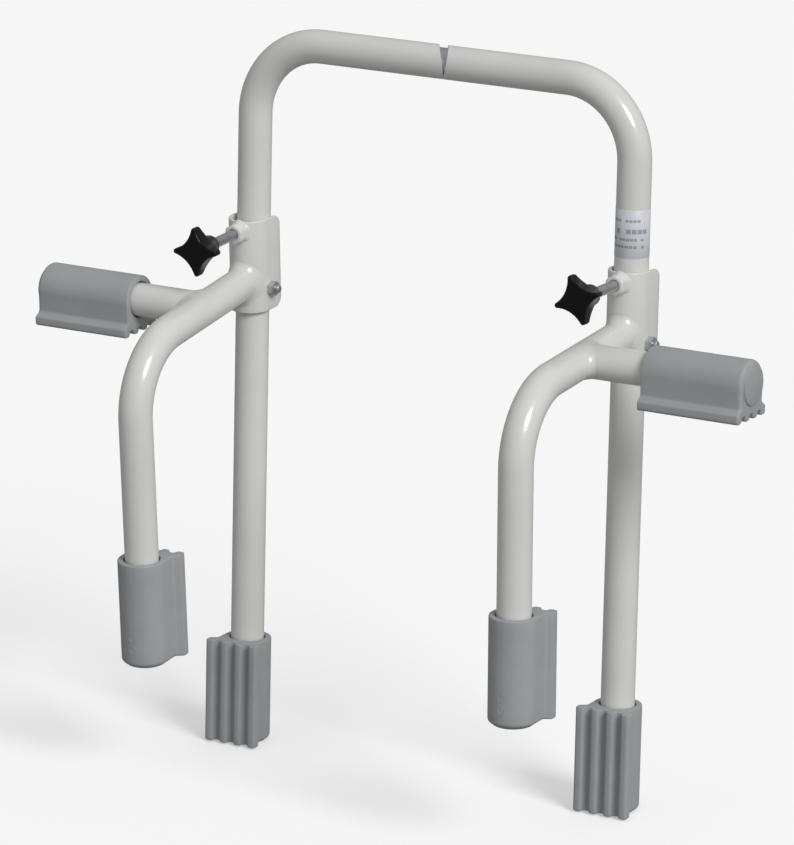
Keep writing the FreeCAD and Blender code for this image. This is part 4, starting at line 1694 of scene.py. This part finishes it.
@dataclass(frozen=True)
class Studio:
    """Floor, soft light and camera."""

    azimuth: float = math.radians(29.425)
    elevation: float = math.radians(14.066)
    roll: float = math.radians(1.249)
    distance: float = 4.2328
    across: float = -0.02974
    rise: float = -0.08043
    lens: float = 246.56
    key_azimuth: float = math.radians(63.0)
    key_elevation: float = math.radians(36.0)
    key_spread: float = math.radians(25.0)
    key_strength: float = 1.6
    world_below: float = 0.22
    world_above: float = 0.48
    floor_edge: float = 15000.0

    def camera(self, target: Vector) -> None:
        """Puts the camera and makes it the scene's.

        Args:
            target: the point it is placed from, in metres.
        """
        sin_a, cos_a = math.sin(self.azimuth), math.cos(self.azimuth)
        sin_e, cos_e = math.sin(self.elevation), math.cos(self.elevation)
        back = Vector((sin_a * cos_e, -cos_a * cos_e, sin_e))
        right = Vector((cos_a, sin_a, 0))
        up = back.cross(right)
        level = math.cos(self.roll) * right + math.sin(self.roll) * up
        upright = -math.sin(self.roll) * right + math.cos(self.roll) * up
        data = bpy.data.cameras.new("studio_camera")
        data.lens = self.lens
        data.sensor_width = 36.0
        data.clip_start, data.clip_end = 0.1, 60.0
        eye = bpy.data.objects.new("studio_camera", data)
        bpy.context.scene.collection.objects.link(eye)
        place = target + back * self.distance + level * self.across + upright * self.rise
        eye.matrix_world = frame_of(level, upright, back, place)
        bpy.context.scene.camera = eye

    def sun(self) -> None:
        """A broad key light from far off."""
        data = bpy.data.lights.new("key", "SUN")
        data.angle = self.key_spread
        data.energy = self.key_strength
        light = bpy.data.objects.new("key", data)
        bpy.context.scene.collection.objects.link(light)
        way = Vector((math.sin(self.key_azimuth), -math.cos(self.key_azimuth), math.tan(self.key_elevation)))
        light.rotation_mode = "QUATERNION"
        light.rotation_quaternion = (-way).to_track_quat("-Z", "Y")

    def world(self) -> None:
        """Soft surroundings, brighter above, that look plain white themselves."""
        world = bpy.data.worlds.new("studio")
        world.use_nodes = True
        tree = world.node_tree
        tree.nodes.clear()
        axes = tree.nodes.new("ShaderNodeSeparateXYZ")
        ramp = tree.nodes.new("ShaderNodeMapRange")
        ramp.inputs["From Min"].default_value = -1.0
        ramp.inputs["To Min"].default_value = self.world_below
        ramp.inputs["To Max"].default_value = self.world_above
        seen = tree.nodes.new("ShaderNodeMix")
        seen.inputs["B"].default_value = 1.0
        shade = tree.nodes.new("ShaderNodeBackground")
        out = tree.nodes.new("ShaderNodeOutputWorld")
        place = tree.nodes.new("ShaderNodeTexCoord").outputs["Generated"]
        path = tree.nodes.new("ShaderNodeLightPath").outputs["Is Camera Ray"]
        for source, target in ((place, axes.inputs[0]), (axes.outputs["Z"], ramp.inputs["Value"]),
                               (path, seen.inputs["Factor"]), (ramp.outputs["Result"], seen.inputs["A"]),
                               (seen.outputs["Result"], shade.inputs["Strength"]),
                               (shade.outputs[0], out.inputs[0])):
            tree.links.new(source, target)
        bpy.context.scene.world = world

    def floor(self, level: float) -> None:
        """A wide pale floor just under the lowest pad.

        Args:
            level: its height.
        """
        skin = Skin()
        edge = self.floor_edge
        skin.cap(skin.ring([Vector((-edge, -edge, 0)), Vector((edge, -edge, 0)), Vector((edge, edge, 0)),
                            Vector((-edge, edge, 0))]))
        floor = bpy.data.objects.new("studio_floor", skin.mesh("studio_floor"))
        floor.location = (0, 0, level)
        floor.data.materials.append(StudioWhite().make())
        floor.visible_diffuse = floor.visible_glossy = False
        bpy.context.scene.collection.objects.link(floor)
        floor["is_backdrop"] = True

    def build(self, target: Vector, level: float) -> None:
        """Sets up everything.

        Args:
            target: middle between the two pivots.
            level: height of the floor.
        """
        self.camera(target)
        bpy.context.scene.view_settings.view_transform = "Standard"
        self.world()
        self.sun()
        self.floor(level)


def main() -> None:
    """Builds the rail and its studio."""
    logging.basicConfig(level=logging.INFO, format="%(name)s %(message)s")
    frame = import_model()
    cad_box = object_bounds()
    shop = Workshop(frame)
    middle = (shop.pivot(Side.LEFT) + shop.pivot(Side.RIGHT)) / 2
    Studio().build(middle, cad_box[0].z)
    Handle(shop).build()
    for side in Side:
        RubberPad(shop, side, Foot.LEG, "handle").build()
        Clamp(shop, side).build()
        ClampScrew(shop, side).build()


if __name__ == "__main__":
    main()
